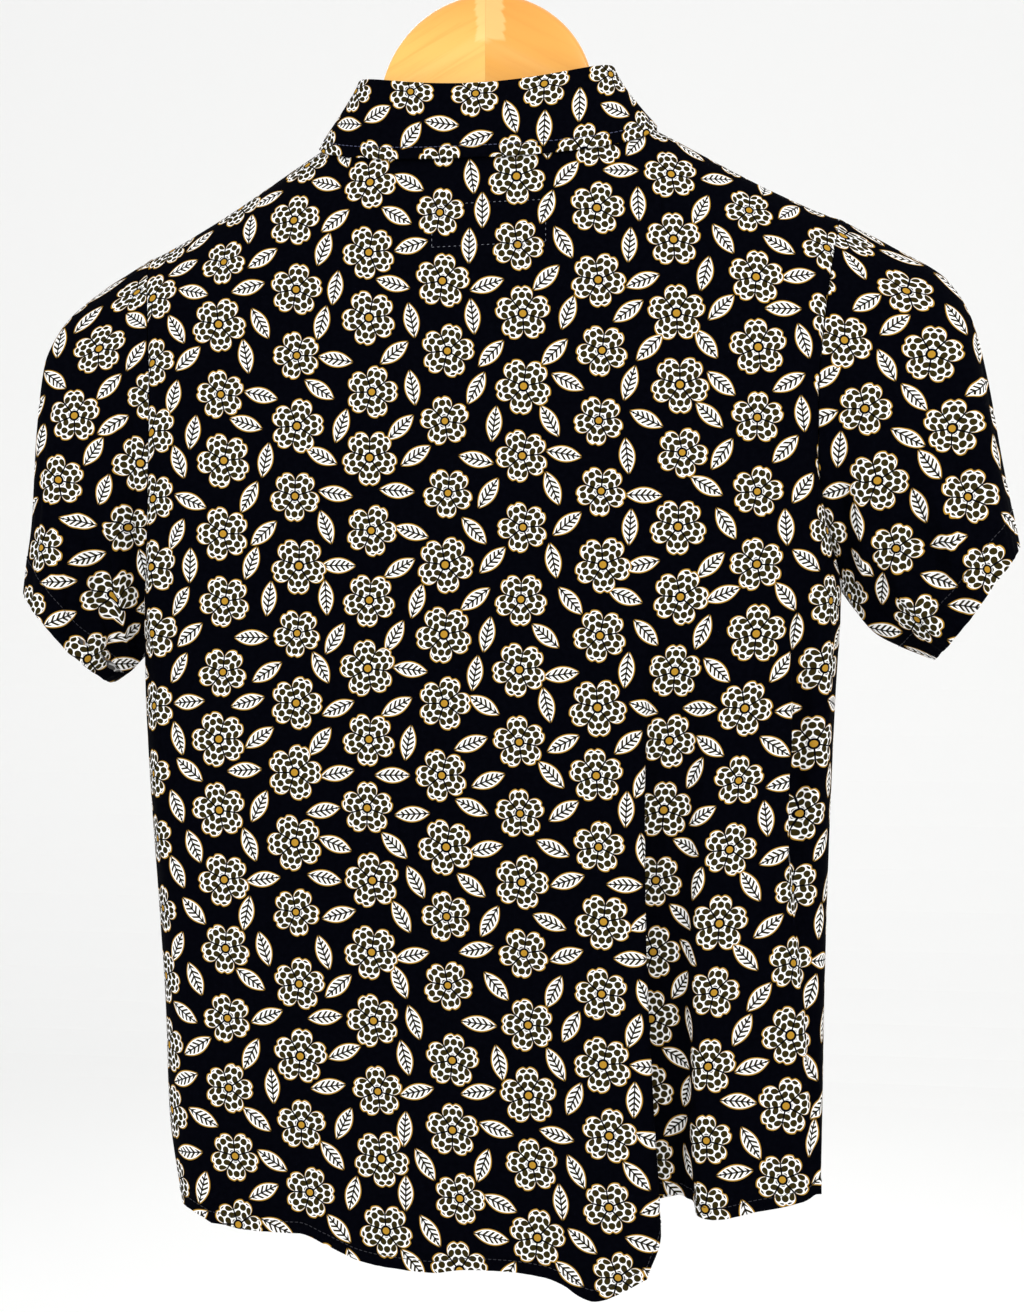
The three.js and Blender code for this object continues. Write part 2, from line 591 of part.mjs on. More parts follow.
function button(z) {
  const outline = new THREE.Shape().absarc(0, 0, buttons.radius, 0, 2 * Math.PI, false);
  for (const [sx, sy] of [[-1, -1], [1, -1], [-1, 1], [1, 1]]) {
    const hole = new THREE.Path().absarc(
      sx * buttons.holeOffset, sy * buttons.holeOffset, buttons.holeRadius, 0, 2 * Math.PI, true);
    outline.holes.push(hole);
  }
  const geometry = new THREE.ExtrudeGeometry(outline, {
    depth: buttons.thickness, bevelEnabled: false, curveSegments: 10,
  });
  geometry.rotateX(-Math.PI / 2);
  geometry.translate(0, frontPoint(0, z, 0).y + seamGap, z);
  return geometry;
}

// ------------------------------------------------------------------------ hanger

const armTopZ = (x) => shoulderZ(x) - clothWall - board.clearance;

// Upper edge of the board: the dome, a short hollow, then the arm's own line.
function boardTopZ(x) {
  const reach = Math.abs(x) / board.domeRadius;
  const dome = reach < 1 ? board.domeZ + board.domeRadius * Math.sqrt(1 - reach ** 2) : -Infinity;
  const footZ = armTopZ(board.footX * Math.sign(x));
  const arm = Math.abs(x) < board.footX ? footZ + (board.footX - Math.abs(x)) * board.footSlope
    : armTopZ(x);
  return Math.max(dome, arm);
}

function boardBottomZ(x) {
  const share = Math.abs(x) / board.armEnd;
  const endZ = armTopZ(board.armEnd * Math.sign(x)) - board.endHeight;
  return mix(board.bottomZ, endZ, share ** board.bottomCurve);
}

function hangerHalf(side) {
  const domeTurns = steps(0, board.domeTurn, 12).map((degrees) => (
    Math.sin(radians(degrees)) * board.domeRadius));
  const armStations = steps(board.domeRadius + 1.5, board.armEnd - board.endRound, 12);
  const tipStations = [board.armEnd - 2.5, board.armEnd - 0.5, board.armEnd];
  const stations = [...domeTurns, ...armStations, ...tipStations];
  stations[0] = seamGap / 2;
  const rings = stations.map((reach) => {
    const x = side * reach;
    const tip = clamp01((board.armEnd - reach) / board.endRound);
    const roundEnd = mix(board.endLeast, 1, Math.sqrt(1 - (1 - tip) ** 2));
    const thin = (reach / board.armEnd) ** 2;
    const half = mix(board.halfThickness, board.tipHalfThickness, thin) * roundEnd;
    const top = boardTopZ(x) - (1 - roundEnd) * board.endTopDrop;
    const bottom = boardBottomZ(x) + (1 - roundEnd) * board.endBottomRise;
    const yMid = shoulderY(x);
    const arc = steps(0, 180, 6).map((degrees) => radians(degrees));
    const crown = arc.map((a) => (
      new THREE.Vector3(x, yMid + half * Math.cos(a), top - half * (1 - Math.sin(a)))));
    const keel = arc.map((a) => (
      new THREE.Vector3(x, yMid - half * Math.cos(a), bottom + half * (1 - Math.sin(a)))));
    return [...crown, ...keel];
  });
  const boreRadius = hook.wireRadius + hook.boreClearance;
  const bore = new THREE.CylinderGeometry(boreRadius, boreRadius, hook.boreLength, 16);
  bore.rotateX(Math.PI / 2);
  bore.translate(0, 0, hook.shankEnd - hook.boreFloor + hook.boreLength / 2);
  return toGeometry(toSolid(ringGeometry(rings)).subtract(toSolid(bore)));
}

// The hook: a straight shank that leans out into a round crook.
function hangerHook() {
  const radius = hook.insideRadius + hook.wireRadius;
  const crook = steps(hook.crookFrom, hook.crookTo, 22).map(radians).map((turn) => (
    new THREE.Vector3(radius * Math.cos(turn), 0, radius * Math.sin(turn) - hook.insideRadius)));
  const stem = hook.stem.map(([x, z]) => new THREE.Vector3(x, 0, z));
  const path = new THREE.CatmullRomCurve3([...stem, ...crook]);
  const section = new THREE.Shape().absarc(0, 0, hook.wireRadius, 0, 2 * Math.PI, false);
  return new THREE.ExtrudeGeometry(section, {
    steps: 70, extrudePath: path, curveSegments: 6, bevelEnabled: false,
  });
}

// ---------------------------------------------------------------------- assembly

const shirt = new THREE.Group();
shirt.add(piece('back', backPanel(), palette.cloth));
shirt.add(piece('front_left', frontPanel(-1), palette.cloth));
shirt.add(piece('front_right', frontPanel(1), palette.cloth));
shirt.add(piece('sleeve_left', sleeve(-1), palette.cloth));
shirt.add(piece('sleeve_right', sleeve(1), palette.cloth));
shirt.add(piece('collar_stand', collarStand(), palette.collarCloth));
shirt.add(piece('collar_fall', collarLeaf(), palette.collarCloth));
for (let k = 0; k < buttons.count; k += 1) {
  const z = buttons.firstZ - k * buttons.pitch;
  shirt.add(piece(`button_${k + 1}`, button(z), palette.button, 0.35));
}

const hanger = new THREE.Group();
hanger.add(piece('hanger_left', hangerHalf(-1), palette.wood, 0.45));
hanger.add(piece('hanger_right', hangerHalf(1), palette.wood, 0.45));
hanger.add(piece('hook', hangerHook(), palette.steel, 0.25, 1));

const garment = new THREE.Group();
garment.add(shirt, hanger);

export default garment;
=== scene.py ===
# A short-sleeved printed shirt hanging on a wooden hanger, seen from its back.
import math

import bpy
import numpy as np
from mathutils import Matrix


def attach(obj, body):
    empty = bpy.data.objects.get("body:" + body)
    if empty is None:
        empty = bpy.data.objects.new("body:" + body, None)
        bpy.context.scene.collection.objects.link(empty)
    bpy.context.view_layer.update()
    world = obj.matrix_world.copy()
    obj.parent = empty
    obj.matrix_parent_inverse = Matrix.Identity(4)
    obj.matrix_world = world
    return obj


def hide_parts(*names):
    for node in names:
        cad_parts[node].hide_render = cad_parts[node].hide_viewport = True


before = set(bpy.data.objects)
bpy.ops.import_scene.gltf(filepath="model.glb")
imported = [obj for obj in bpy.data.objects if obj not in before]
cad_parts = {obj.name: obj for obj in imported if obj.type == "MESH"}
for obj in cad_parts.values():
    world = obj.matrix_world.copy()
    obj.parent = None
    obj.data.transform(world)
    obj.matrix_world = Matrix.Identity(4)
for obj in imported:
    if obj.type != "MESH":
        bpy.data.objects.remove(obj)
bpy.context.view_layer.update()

mm = 0.001

# Camera and light

view = {
    "place": (125.7, -893.3, -485.8),   # lens, in mm from the hook's bearing point
    "turn": 7.0,                        # degrees to the left of straight ahead
    "focal": 1428.6,                    # focal length in pixels of the frame
    "frameWidth": 1024,
    "sensor": 36.0,
}


def placeCamera(v):
    # level camera; lens length is the focal length in pixels times sensor width over frame width
    lens = bpy.data.cameras.new("pictureCamera")
    lens.sensor_fit = "HORIZONTAL"
    lens.sensor_width = v["sensor"]
    lens.lens = v["focal"] * v["sensor"] / v["frameWidth"]
    lens.clip_start = 0.01
    rig = bpy.data.objects.new("pictureCamera", lens)
    rig.location = [c * mm for c in v["place"]]
    rig.rotation_euler = (math.radians(90), 0, math.radians(v["turn"]))
    bpy.context.collection.objects.link(rig)
    bpy.context.scene.camera = rig


lights = {
    "key": {"place": (900, -1300, 420), "size": 900, "watts": 19, "tint": (1.0, 0.985, 0.96)},
    "fill": {"place": (-1100, -1100, -300), "size": 1400, "watts": 8.5, "tint": (0.95, 0.975, 1.0)},
    "behind": {"place": (-300, 1300, 500), "size": 1200, "watts": 10, "tint": (1.0, 1.0, 1.0)},
    "aim": (0, 0, -480), "sky": 0.93, "skyTint": (0.96, 0.965, 0.97, 1),
}


def aimAt(obj, target):
    # turned down by the angle between straight below and the target, then round to its bearing
    d = np.array(target) - np.array(obj.location)
    flat = math.hypot(d[0], d[1])
    obj.rotation_euler = (math.atan2(flat, -d[2]), 0, math.atan2(d[1], d[0]) - math.pi / 2)


def lightRoom(v):
    # three round soft lamps, hidden from the camera, in a pale even sky
    for name in ("key", "fill", "behind"):
        one = v[name]
        lamp = bpy.data.lights.new(name + "Light", "AREA")
        lamp.shape = "DISK"
        lamp.size = one["size"] * mm
        lamp.energy = one["watts"]
        lamp.color = one["tint"]
        obj = bpy.data.objects.new(name + "Light", lamp)
        obj.location = [c * mm for c in one["place"]]
        obj.visible_camera = False
        aimAt(obj, np.array(v["aim"]) * mm)
        bpy.context.collection.objects.link(obj)
    world = bpy.data.worlds.new("paleRoom")
    world.use_nodes = True
    sky = world.node_tree.nodes["Background"]
    sky.inputs["Color"].default_value = v["skyTint"]
    sky.inputs["Strength"].default_value = v["sky"]
    bpy.context.scene.world = world


stageSizes = {
    "floorDrop": -1500, "wallY": 3600, "half": 7000, "bendRadius": 1200, "height": 4200,
    "bendSteps": 14, "paint": (0.95, 0.948, 0.94, 1), "roughness": 0.9,
}


def paleStage(v):
    # floor, then a quarter bend, then the wall, carried along X
    arc = np.linspace(0, np.pi / 2, v["bendSteps"])
    bendY = v["wallY"] - v["bendRadius"] + v["bendRadius"] * np.sin(arc)
    bendZ = v["floorDrop"] + v["bendRadius"] * (1 - np.cos(arc))
    y = np.concatenate([[-v["half"]], bendY, [v["wallY"]]]) * mm
    z = np.concatenate([[v["floorDrop"]], bendZ, [v["height"]]]) * mm
    rows = [np.stack([np.full_like(y, x * mm), y, z], 1) for x in (-v["half"], v["half"])]
    n = len(y)
    mesh = bpy.data.meshes.new("paleFloor")
    faces = [(k, n + k, n + k + 1, k + 1) for k in range(n - 1)]
    mesh.from_pydata(np.concatenate(rows).tolist(), [], faces)
    obj = bpy.data.objects.new("paleFloor", mesh)
    bpy.context.collection.objects.link(obj)
    paint = bpy.data.materials.new("palePaint")
    paint.use_nodes = True
    shader = paint.node_tree.nodes["Principled BSDF"]
    shader.inputs["Base Color"].default_value = v["paint"]
    shader.inputs["Roughness"].default_value = v["roughness"]
    mesh.materials.append(paint)


placeCamera(view)
lightRoom(lights)
paleStage(stageSizes)
bpy.context.scene.view_settings.view_transform = "Standard"
print("shirt: camera, light and floor set")

# Small tools


def softTable(names, rows):
    # rows of numbers with named columns, read through cubic pieces that never overshoot: a row's
    # slope is the harmonic mean of the slopes on both sides of it, or level at a peak
    grid = np.array(rows, float)
    if grid[0, 0] > grid[-1, 0]:
        grid = grid[::-1]
    key = grid[:, 0]
    span = np.diff(key)
    curves = {}
    for k, name in enumerate(names[1:], 1):
        value = grid[:, k]
        slope = np.diff(value) / span
        before, after = slope[:-1], slope[1:]
        total = before + after
        safe = np.where(np.abs(total) < 1e-12, 1, total)
        inner = np.where(before * after > 0, 2 * before * after / safe, 0)
        curves[name] = (value, np.concatenate([slope[:1], inner, slope[-1:]]))

    def read(at, name):
        value, tangent = curves[name]
        at = np.asarray(at, float)
        i = np.clip(np.searchsorted(key, at) - 1, 0, len(key) - 2)
        h = span[i]
        t = np.clip((at - key[i]) / h, 0, 1)
        return ((2 * t**3 - 3 * t**2 + 1) * value[i] + (t**3 - 2 * t**2 + t) * h * tangent[i]
                + (3 * t**2 - 2 * t**3) * value[i + 1] + (t**3 - t**2) * h * tangent[i + 1])

    return read


def mix(a, b, t):
    # straight line from a to b
    return a + (b - a) * t


def smooth(t):
    # 0 to 1 with level ends: three squares less two cubes
    s = np.clip(t, 0, 1)
    return s * s * (3 - 2 * s)


def bump(d, width):
    # bell curve, 1 at the middle
    return np.exp(-(d / width) ** 2)


def chain(*runs):
    # end to end lists of numbers, with the shared ends kept once
    return np.concatenate([runs[0]] + [r[1:] for r in runs[1:]])


def points(x, y, z):
    # three coordinates stacked into one array of places
    return np.stack(np.broadcast_arrays(x, y, z), -1).astype(float)


# Shape of the shirt

body = {
    "backDepth": 34, "frontDepth": 36, "rounding": 45,
    "neckHalf": 82, "neckSideZ": -148, "backDrop": 21, "frontDrop": 67,
    "lean": 0.02, "sweep": 9, "armEnd": 212, "gap": 0.3, "buttonStand": 17, "lap": 1.7,
    "frontHem": -852, "leftSeamHem": -832, "rightSeamHem": -808, "frontHemCurve": 1.6,
    "leftPit": -484, "rightPit": -446, "neckCurve": 1.2, "troughTopZ": -430, "troughFade": 350,
    "foldLate": 1.6, "foldSteps": 24,
    "halfWidth": 220, "edgeBand": 24, "leftTopX": -221, "rightTopX": 218, "topZ": -226,
}

shoulderLine = softTable(("x", "z"), [
    (0, -106), (40, -126), (82, -148), (108, -162), (138, -179.5), (165, -195), (185, -205.5),
    (212, -218), (224, -222)])

leftSide = softTable(("z", "x", "inset", "bend"), [
    (-226, -221, 0.10, 24), (-279, -213.5, 0.10, 24), (-324, -211, 0.12, 24),
    (-375, -212, 0.20, 26), (-425, -215.5, 0.42, 30), (-462, -220, 0.74, 33),
    (-484, -222, 1, 34), (-547, -219.5, 1, 34), (-645, -212.5, 1, 33), (-710, -208, 1, 32),
    (-775, -205.5, 1, 31), (-840, -195.8, 1, 28), (-880, -191, 1, 28)])

rightSide = softTable(("z", "x", "inset", "bend"), [
    (-217, 218, 0.10, 20), (-272, 208.5, 0.10, 20), (-333, 203, 0.14, 20), (-367, 203, 0.24, 22),
    (-394, 206.5, 0.42, 24), (-415, 211.5, 0.64, 26), (-446, 219, 1, 28), (-513, 215.5, 1, 28),
    (-606, 211.5, 1, 27), (-700, 208.5, 1, 24), (-770, 206.8, 1, 24), (-812, 204.6, 1, 24),
    (-880, 201, 1, 24)])

backFold = softTable(("z", "x", "inTurn", "inRun", "outTurn", "sideX", "sideTurn", "sideRun"), [
    (-226, 98, 0, 12, 4, 176, 0, 14), (-430, 98, 2, 12, 5, 178, 6, 14),
    (-480, 97, 35, 14, 20, 183, 55, 14), (-540, 95, 80, 18, 36, 183, 80, 15),
    (-640, 95, 118, 26, 60, 186, 84, 15), (-756, 98, 134, 33, 80, 192, 62, 13),
    (-820, 101, 138, 36, 86, 194, 44, 12), (-880, 102, 138, 36, 86, 194, 40, 12)])

backHem = softTable(("at", "z"), [
    (0, -832), (0.6, -832), (0.85, -834.8), (1.02, -838.9), (1.07, -841.4), (1.21, -842),
    (1.26, -847.5), (1.35, -857.9), (1.4, -860.3), (1.51, -862.3), (1.58, -859.6), (1.67, -858.9),
    (1.76, -861.2), (1.81, -865.4), (1.85, -872), (1.88, -874), (1.94, -868.3), (2, -859),
    (2.12, -847.5), (2.3, -834), (2.5, -825), (3, -816), (3.5, -816.2), (3.75, -821), (4, -821.6),
    (4.5, -815.6), (4.85, -811.2), (5, -808.5), (6, -805), (7, -808)])

# middle, width and depth of each hollow down the fronts
frontTroughs = np.array([(-128, 16, 9), (-62, 22, -6), (74, 20, 8), (142, 15, -7)], float)


def shoulderZ(x):
    # height of the shoulder line, alike on both sides but for a lean that grows with x
    return shoulderLine(np.abs(x), "z") + body["lean"] * x


def seamY(x, z):
    # forward sweep grows as the square of the way out and dies away below the shoulder
    drop = np.maximum(0, shoulderZ(x) - z)
    return body["sweep"] * (x / body["armEnd"]) ** 2 * np.exp(-drop / body["rounding"])


def drape(x, z, hanging, cover=0):
    # depth closes to nothing on the shoulder line, as the root of an exponential
    drop = np.maximum(0, shoulderZ(x) + cover - z)
    opened = np.sqrt(1 - np.exp(-drop / body["rounding"]))
    return (hanging + cover * np.sign(hanging)) * opened + seamY(x, z)


def neckShare(x):
    # half circle over the neck's width
    return np.sqrt(np.maximum(0, 1 - (x / body["neckHalf"]) ** 2))


def neckBackZ(x):
    # the neck seam's back: half an oval hung below two lines from the middle to the neck points
    reach = np.abs(x) / body["neckHalf"]
    side = shoulderZ(body["neckHalf"] * np.where(x < 0, -1, 1))
    return side * reach + body["neckSideZ"] * (1 - reach) - body["backDrop"] * neckShare(x)


def neckFrontZ(x):
    # the front drops further, by a power of the half circle
    return neckBackZ(x) - (body["frontDrop"] - body["backDrop"]) * neckShare(x) ** body["neckCurve"]


def topZ(x, neckZ):
    # top edge of a panel: the neck seam between the neck points, then the shoulder
    return np.where(np.abs(x) < body["neckHalf"], neckZ(x), shoulderZ(x))


def lobe(share, run, turn, late=1):
    # heading rises to the turn and falls again, as the squared sine of pi times the way to a
    # power; the place is the sum of steps along it
    count = body["foldSteps"]
    x = y = 0
    for k in range(count):
        heading = turn * np.sin(np.pi * (share * (k + 0.5) / count) ** late) ** 2
        x = x + np.cos(heading) * run * share / count
        y = y + np.sin(heading) * run * share / count
    return x, y


def backPath(station, z):
    # x and y across the back at one height: side, flat, fold in, fold out, flat, crease, side
    depth = body["backDepth"]
    leftX, leftBend, leftInset = (leftSide(z, k) for k in ("x", "bend", "inset"))
    rightX, rightInset = rightSide(z, "x"), rightSide(z, "inset")
    inRun, inTurn = backFold(z, "inRun"), np.radians(backFold(z, "inTurn"))
    outTurn = -np.radians(backFold(z, "outTurn"))
    sideRun, sideTurn = backFold(z, "sideRun"), np.radians(backFold(z, "sideTurn"))
    foldX, sideX = backFold(z, "x"), backFold(z, "sideX")
    leftStart = leftX + leftBend
    t = lambda n: np.clip(station - n, 0, 1)

    turn = np.radians(90) * t(0)
    sideA = (leftStart - leftBend * np.cos(turn), -depth + depth * leftInset * (1 - np.sin(turn)))
    flatA = (mix(leftStart, foldX, t(1)), -depth + 0 * z)
    inX, inY = lobe(1, inRun, inTurn)
    late = body["foldLate"]
    outUnit = lobe(1, 1, outTurn, late)[1]
    outRun = np.where(np.abs(outUnit) > 1e-9, -inY / np.where(outUnit == 0, 1, outUnit), inRun)
    outX, outY = lobe(1, outRun, outTurn, late)
    stepX, stepY = lobe(t(2), inRun, inTurn)
    foldIn = (foldX + stepX, -depth + stepY)
    stepX, stepY = lobe(t(3), outRun, outTurn, late)
    foldOut = (foldX + inX + stepX, -depth + inY + stepY)
    flatEnd = -depth + inY + outY
    flatB = (mix(foldX + inX + outX, sideX, t(4)), flatEnd)
    stepX, stepY = lobe(t(5), sideRun, sideTurn)
    crease = (sideX + stepX, flatEnd + stepY)
    endX, endY = lobe(1, sideRun, sideTurn)
    turn = np.radians(90) * t(6)
    seam = -depth + depth * rightInset
    sideB = (sideX + endX + (rightX - sideX - endX) * np.sin(turn),
             seam + (flatEnd + endY - seam) * np.cos(turn))
    runs = (sideA, flatA, foldIn, foldOut, flatB, crease, sideB)
    which = [station <= n for n in range(1, 8)]
    shape = np.shape(station)
    pick = lambda k: np.select(which, [np.broadcast_to(r[k], shape) for r in runs], runs[-1][k])
    return pick(0), pick(1)


def backSurface(station, z):
    # the path across the back at each height, closed to the shoulder by the drape
    station, z = np.broadcast_arrays(np.asarray(station, float), np.asarray(z, float))
    x, y = backPath(station, z)
    return points(x, drape(x, z, y) - body["gap"] / 2, z)


def frontSurface(x, z, lap):
    # flat depth less the hollows, rounded back to the side seam as a quarter circle
    x, z = np.broadcast_arrays(np.asarray(x, float), np.asarray(z, float))
    left = x < 0
    edge = np.where(left, -leftSide(z, "x"), rightSide(z, "x"))
    inset = np.where(left, leftSide(z, "inset"), rightSide(z, "inset"))
    bend = np.where(left, leftSide(z, "bend"), rightSide(z, "bend"))
    past = np.clip((np.abs(x) - (edge - bend)) / bend, 0, 1)
    flat = body["frontDepth"] - lap
    soft = sum(-depth * bump(x - at, width) for at, width, depth in frontTroughs)
    lowness = smooth((body["troughTopZ"] - z) / body["troughFade"])
    hanging = flat + soft * lowness * (1 - past) - flat * inset * (1 - np.sqrt(1 - past**2))
    return points(x, drape(x, z, hanging) + body["gap"] / 2, z)


sleeves = {
    -1: {
        "upper": softTable(("at", "x", "z"), [
            (0, -221, -226), (0.16, -252, -244), (0.3, -279.5, -268), (0.42, -289.5, -291),
            (0.6, -292, -330), (0.8, -294, -386), (1, -301.5, -443)]),
        "under": softTable(("at", "x", "z"), [(0, -222, -484), (0.5, -235, -496), (1, -248, -502.5)]),
        "start": (-221, -226, -222, -484), "hemLift": 6.5,
    },
    1: {
        "upper": softTable(("at", "x", "z"), [
            (0, 218, -217), (0.16, 250, -236), (0.3, 282, -257), (0.42, 297, -283),
            (0.6, 305.5, -319), (0.8, 313, -366), (1, 323, -420.5)]),
        "under": softTable(("at", "x", "z"), [(0, 219, -446), (0.5, 239, -472.5), (1, 274, -488.5)]),
        "start": (218, -217, 219, -446), "hemLift": 4,
    },
    "hemBack": 46, "hemFront": 54, "seamGap": 0.5, "opening": 0.1,
}


def sleeveSurface(side, angle, s):
    # the armhole's outline eases into an oval hem between the upper and underarm lines
    angle, s = np.broadcast_arrays(np.asarray(angle, float), np.asarray(s, float))
    shape = sleeves[side]
    topX, topHigh, pitX, pitHigh = shape["start"]
    down = (1 - np.cos(angle)) / 2
    z = mix(topHigh, pitHigh, down)
    backEdge = backSurface(np.full_like(z, 0.0 if side < 0 else 7.0), z)
    frontEdge = frontSurface(backEdge[..., 0], z, 0 if side < 0 else body["lap"])
    isBack = np.sin(angle) >= 0
    edgeX = backEdge[..., 0]
    edgeY = np.where(isBack, backEdge[..., 1], frontEdge[..., 1])
    hemY = -np.sin(angle) * np.where(isBack, sleeves["hemBack"], sleeves["hemFront"])
    lift = np.maximum(0, np.sin(angle)) * shape["hemLift"] * math.sqrt(0.5) * s**3
    x = (mix(shape["upper"](s, "x"), shape["under"](s, "x"), down)
         + (edgeX - mix(topX, pitX, down)) * (1 - s) ** 2 + side * (sleeves["seamGap"] - lift))
    y = mix(edgeY, hemY, smooth(mix(s, s * s, sleeves["opening"])))
    return points(x, y, mix(shape["upper"](s, "z"), shape["under"](s, "z"), down) + lift)


collar = {
    "foldX": -0.75, "foldHalf": 80, "foldBackY": -27, "foldFrontY": 35, "foldLean": 0.01,
    "foldSideZ": -121.3, "foldBackZ": -136.5, "foldFrontZ": -190, "roll": 2.1, "rollShare": 0.25,
    "edgeX": 1, "edgeHalf": 107, "edgeBackZ": -182, "edgeBackCurve": 0.8, "cover": 2.9,
    "pointX": 50, "pointZ": -262, "pointSweep": 1.4, "pointDrop": 0.85,
    "wall": 1.2, "seamGap": 0.5, "spread": 0.32, "startPull": 0.8, "endPull": 0.9, "restSlack": 0.1,
}


def neckSurface(angle):
    # the neck seam by angle, from the centre back round to half a turn at the centre front
    x = body["neckHalf"] * np.sin(angle)
    isBack = np.cos(angle) >= 0
    z = np.where(isBack, neckBackZ(x), neckFrontZ(x))
    y = np.where(isBack, drape(x, z, -body["backDepth"]), drape(x, z, body["frontDepth"]))
    return points(x, y, z)


def foldLine(angle):
    # the collar's upper fold: an oval in plan, whose height follows the squared cosine
    c = np.cos(angle)
    isBack = c >= 0
    x = (collar["foldX"] * np.where(isBack, 1, 1 - c * c) + collar["foldHalf"] * np.sin(angle))
    y = np.where(isBack, collar["foldBackY"] * c, -collar["foldFrontY"] * c)
    z = mix(collar["foldSideZ"], np.where(isBack, collar["foldBackZ"], collar["foldFrontZ"]), c * c)
    return points(x, y, z + collar["foldLean"] * x)


def foldOutward(angle):
    # level direction at right angles to that oval
    depth = np.where(np.cos(angle) >= 0, -collar["foldBackY"], collar["foldFrontY"])
    way = points(np.sin(angle) / collar["foldHalf"], -np.cos(angle) / depth, 0)
    return way / np.linalg.norm(way, axis=-1, keepdims=True)


def leafEdge(angle):
    # the fall's lower edge, round the back and down to a point on each front, lying on the cloth
    side = np.where(angle < 0, -1, 1)
    c = np.cos(angle)
    back, front = np.maximum(c, 0), np.maximum(-c, 0)
    sideZ = shoulderZ(side * collar["edgeHalf"]) + collar["cover"]
    x = np.where(c >= 0, collar["edgeX"] * c + collar["edgeHalf"] * np.sin(angle),
                 side * mix(collar["edgeHalf"], collar["pointX"], front ** collar["pointSweep"]))
    z = np.where(c >= 0, mix(sideZ, collar["edgeBackZ"], back ** collar["edgeBackCurve"]),
                 mix(sideZ, collar["pointZ"], front ** collar["pointDrop"]))
    y = np.where(c >= 0, drape(x, z, -body["backDepth"], collar["cover"]),
                 drape(x, z, body["frontDepth"], collar["cover"]))
    return points(x, y, z)


def leafSurface(angle, v):
    # a half-round roll over the stand's top, then a cubic fall to the leaf's edge
    angle, v = np.broadcast_arrays(np.asarray(angle, float), np.asarray(v, float))
    share = collar["rollShare"]
    fold, out = foldLine(angle), foldOutward(angle)
    turn = np.pi * (1 - np.clip(v / share, 0, 1))
    roll = fold + out * (collar["roll"] * np.cos(turn))[..., None]
    roll[..., 2] += collar["roll"] * np.sin(turn)
    t = np.clip((v - share) / (1 - share), 0, 1)[..., None]
    start, end = fold + out * collar["roll"], leafEdge(angle)
    length = np.linalg.norm(end - start, axis=-1, keepdims=True)
    away = neckSurface(angle) - fold
    away = away / np.linalg.norm(away, axis=-1, keepdims=True) + out * collar["spread"]
    away = away * length * collar["startPull"]
    home = (end - start) * collar["endPull"]
    fall = (start * (2 * t**3 - 3 * t**2 + 1) + away * (t**3 - 2 * t**2 + t)
            + end * (3 * t**2 - 2 * t**3) + home * (t**3 - t**2))
    cover = (collar["cover"] - collar["restSlack"]) * smooth(t[..., 0] * 3)
    low = drape(fall[..., 0], fall[..., 2], -body["backDepth"], cover)
    high = drape(fall[..., 0], fall[..., 2], body["frontDepth"], cover)
    c = np.cos(angle)
    fall[..., 1] = np.where(c > 0.02, np.minimum(fall[..., 1], low),
                            np.where(c < -0.02, np.maximum(fall[..., 1], high), fall[..., 1]))
    return np.where((v <= share)[..., None], roll, fall)


print("shirt: surfaces defined")

# Grids into cloth


def gridNormals(p, around=False):
    # unit cross product of the steps down and along the grid
    if around:
        along = np.gradient(np.concatenate([p[-1:], p, p[:1]]), axis=0)[1:-1]
    else:
        along = np.gradient(p, axis=0)
    n = np.cross(np.gradient(p, axis=1), along)
    return n / np.maximum(np.linalg.norm(n, axis=-1, keepdims=True), 1e-9)


def makeMesh(name, verts, faces):
    # a smooth-shaded object from places in mm and lists of their numbers
    mesh = bpy.data.meshes.new(name)
    mesh.from_pydata((verts.reshape(-1, 3) * mm).tolist(), [], faces)
    mesh.polygons.foreach_set("use_smooth", np.full(len(mesh.polygons), True))
    mesh.update()
    obj = bpy.data.objects.new(name, mesh)
    bpy.context.collection.objects.link(obj)
    return obj


def gridMesh(name, p, cuts, around=False):
    # quads of a grid whose rows run down and columns run right, seen from outside; each equal
    # stretch of columns has its own cut
    cuts = np.stack(cuts)
    ni, nj = p.shape[:2]
    wide = ni if around else ni - 1
    i, j = np.meshgrid(np.arange(wide), np.arange(nj - 1), indexing="ij")
    corner = lambda a, b: ((i + a) % ni) * nj + j + b
    faces = np.stack([corner(0, 0), corner(0, 1), corner(1, 1), corner(1, 0)], -1).reshape(-1, 4)
    stretch = i * len(cuts) // wide
    pick = lambda a, b: cuts[stretch, i + a, j + b]
    corners = np.stack([pick(0, 0), pick(0, 1), pick(1, 1), pick(1, 0)], 2)
    obj = makeMesh(name, p, faces.tolist())
    layer = obj.data.uv_layers.new(name="cut")
    layer.data.foreach_set("uv", (corners * mm).astype(np.float32).ravel())
    return obj


def wall(obj, thickness, outside, inside):
    # wall grown inwards from the outer face
    shell = obj.modifiers.new("wall", "SOLIDIFY")
    shell.thickness = thickness * mm
    shell.offset = -1
    shell.use_quality_normals = True
    shell.material_offset = 1
    obj.data.materials.append(outside)
    obj.data.materials.append(inside)


def edgeOf(edge):
    # axis of a grid and place on it
    return 0 if edge in ("first", "last") else 1, 0 if edge in ("first", "top") else -1


def joinEdge(grid, rows, edge):
    # extra rows put outside the grid's edge, the nearest one first
    axis, at = edgeOf(edge)
    return np.concatenate(rows[::-1] + [grid] if at == 0 else [grid] + rows, axis)


def turnIn(p, edge, distances, around=False):
    # extra rows or columns past an edge, moved in along the edge's normals
    axis, at = edgeOf(edge)
    rim, n = (np.take(a, [at], axis=axis) for a in (p, gridNormals(p, around)))
    return joinEdge(p, [rim - n * d for d in distances], edge)


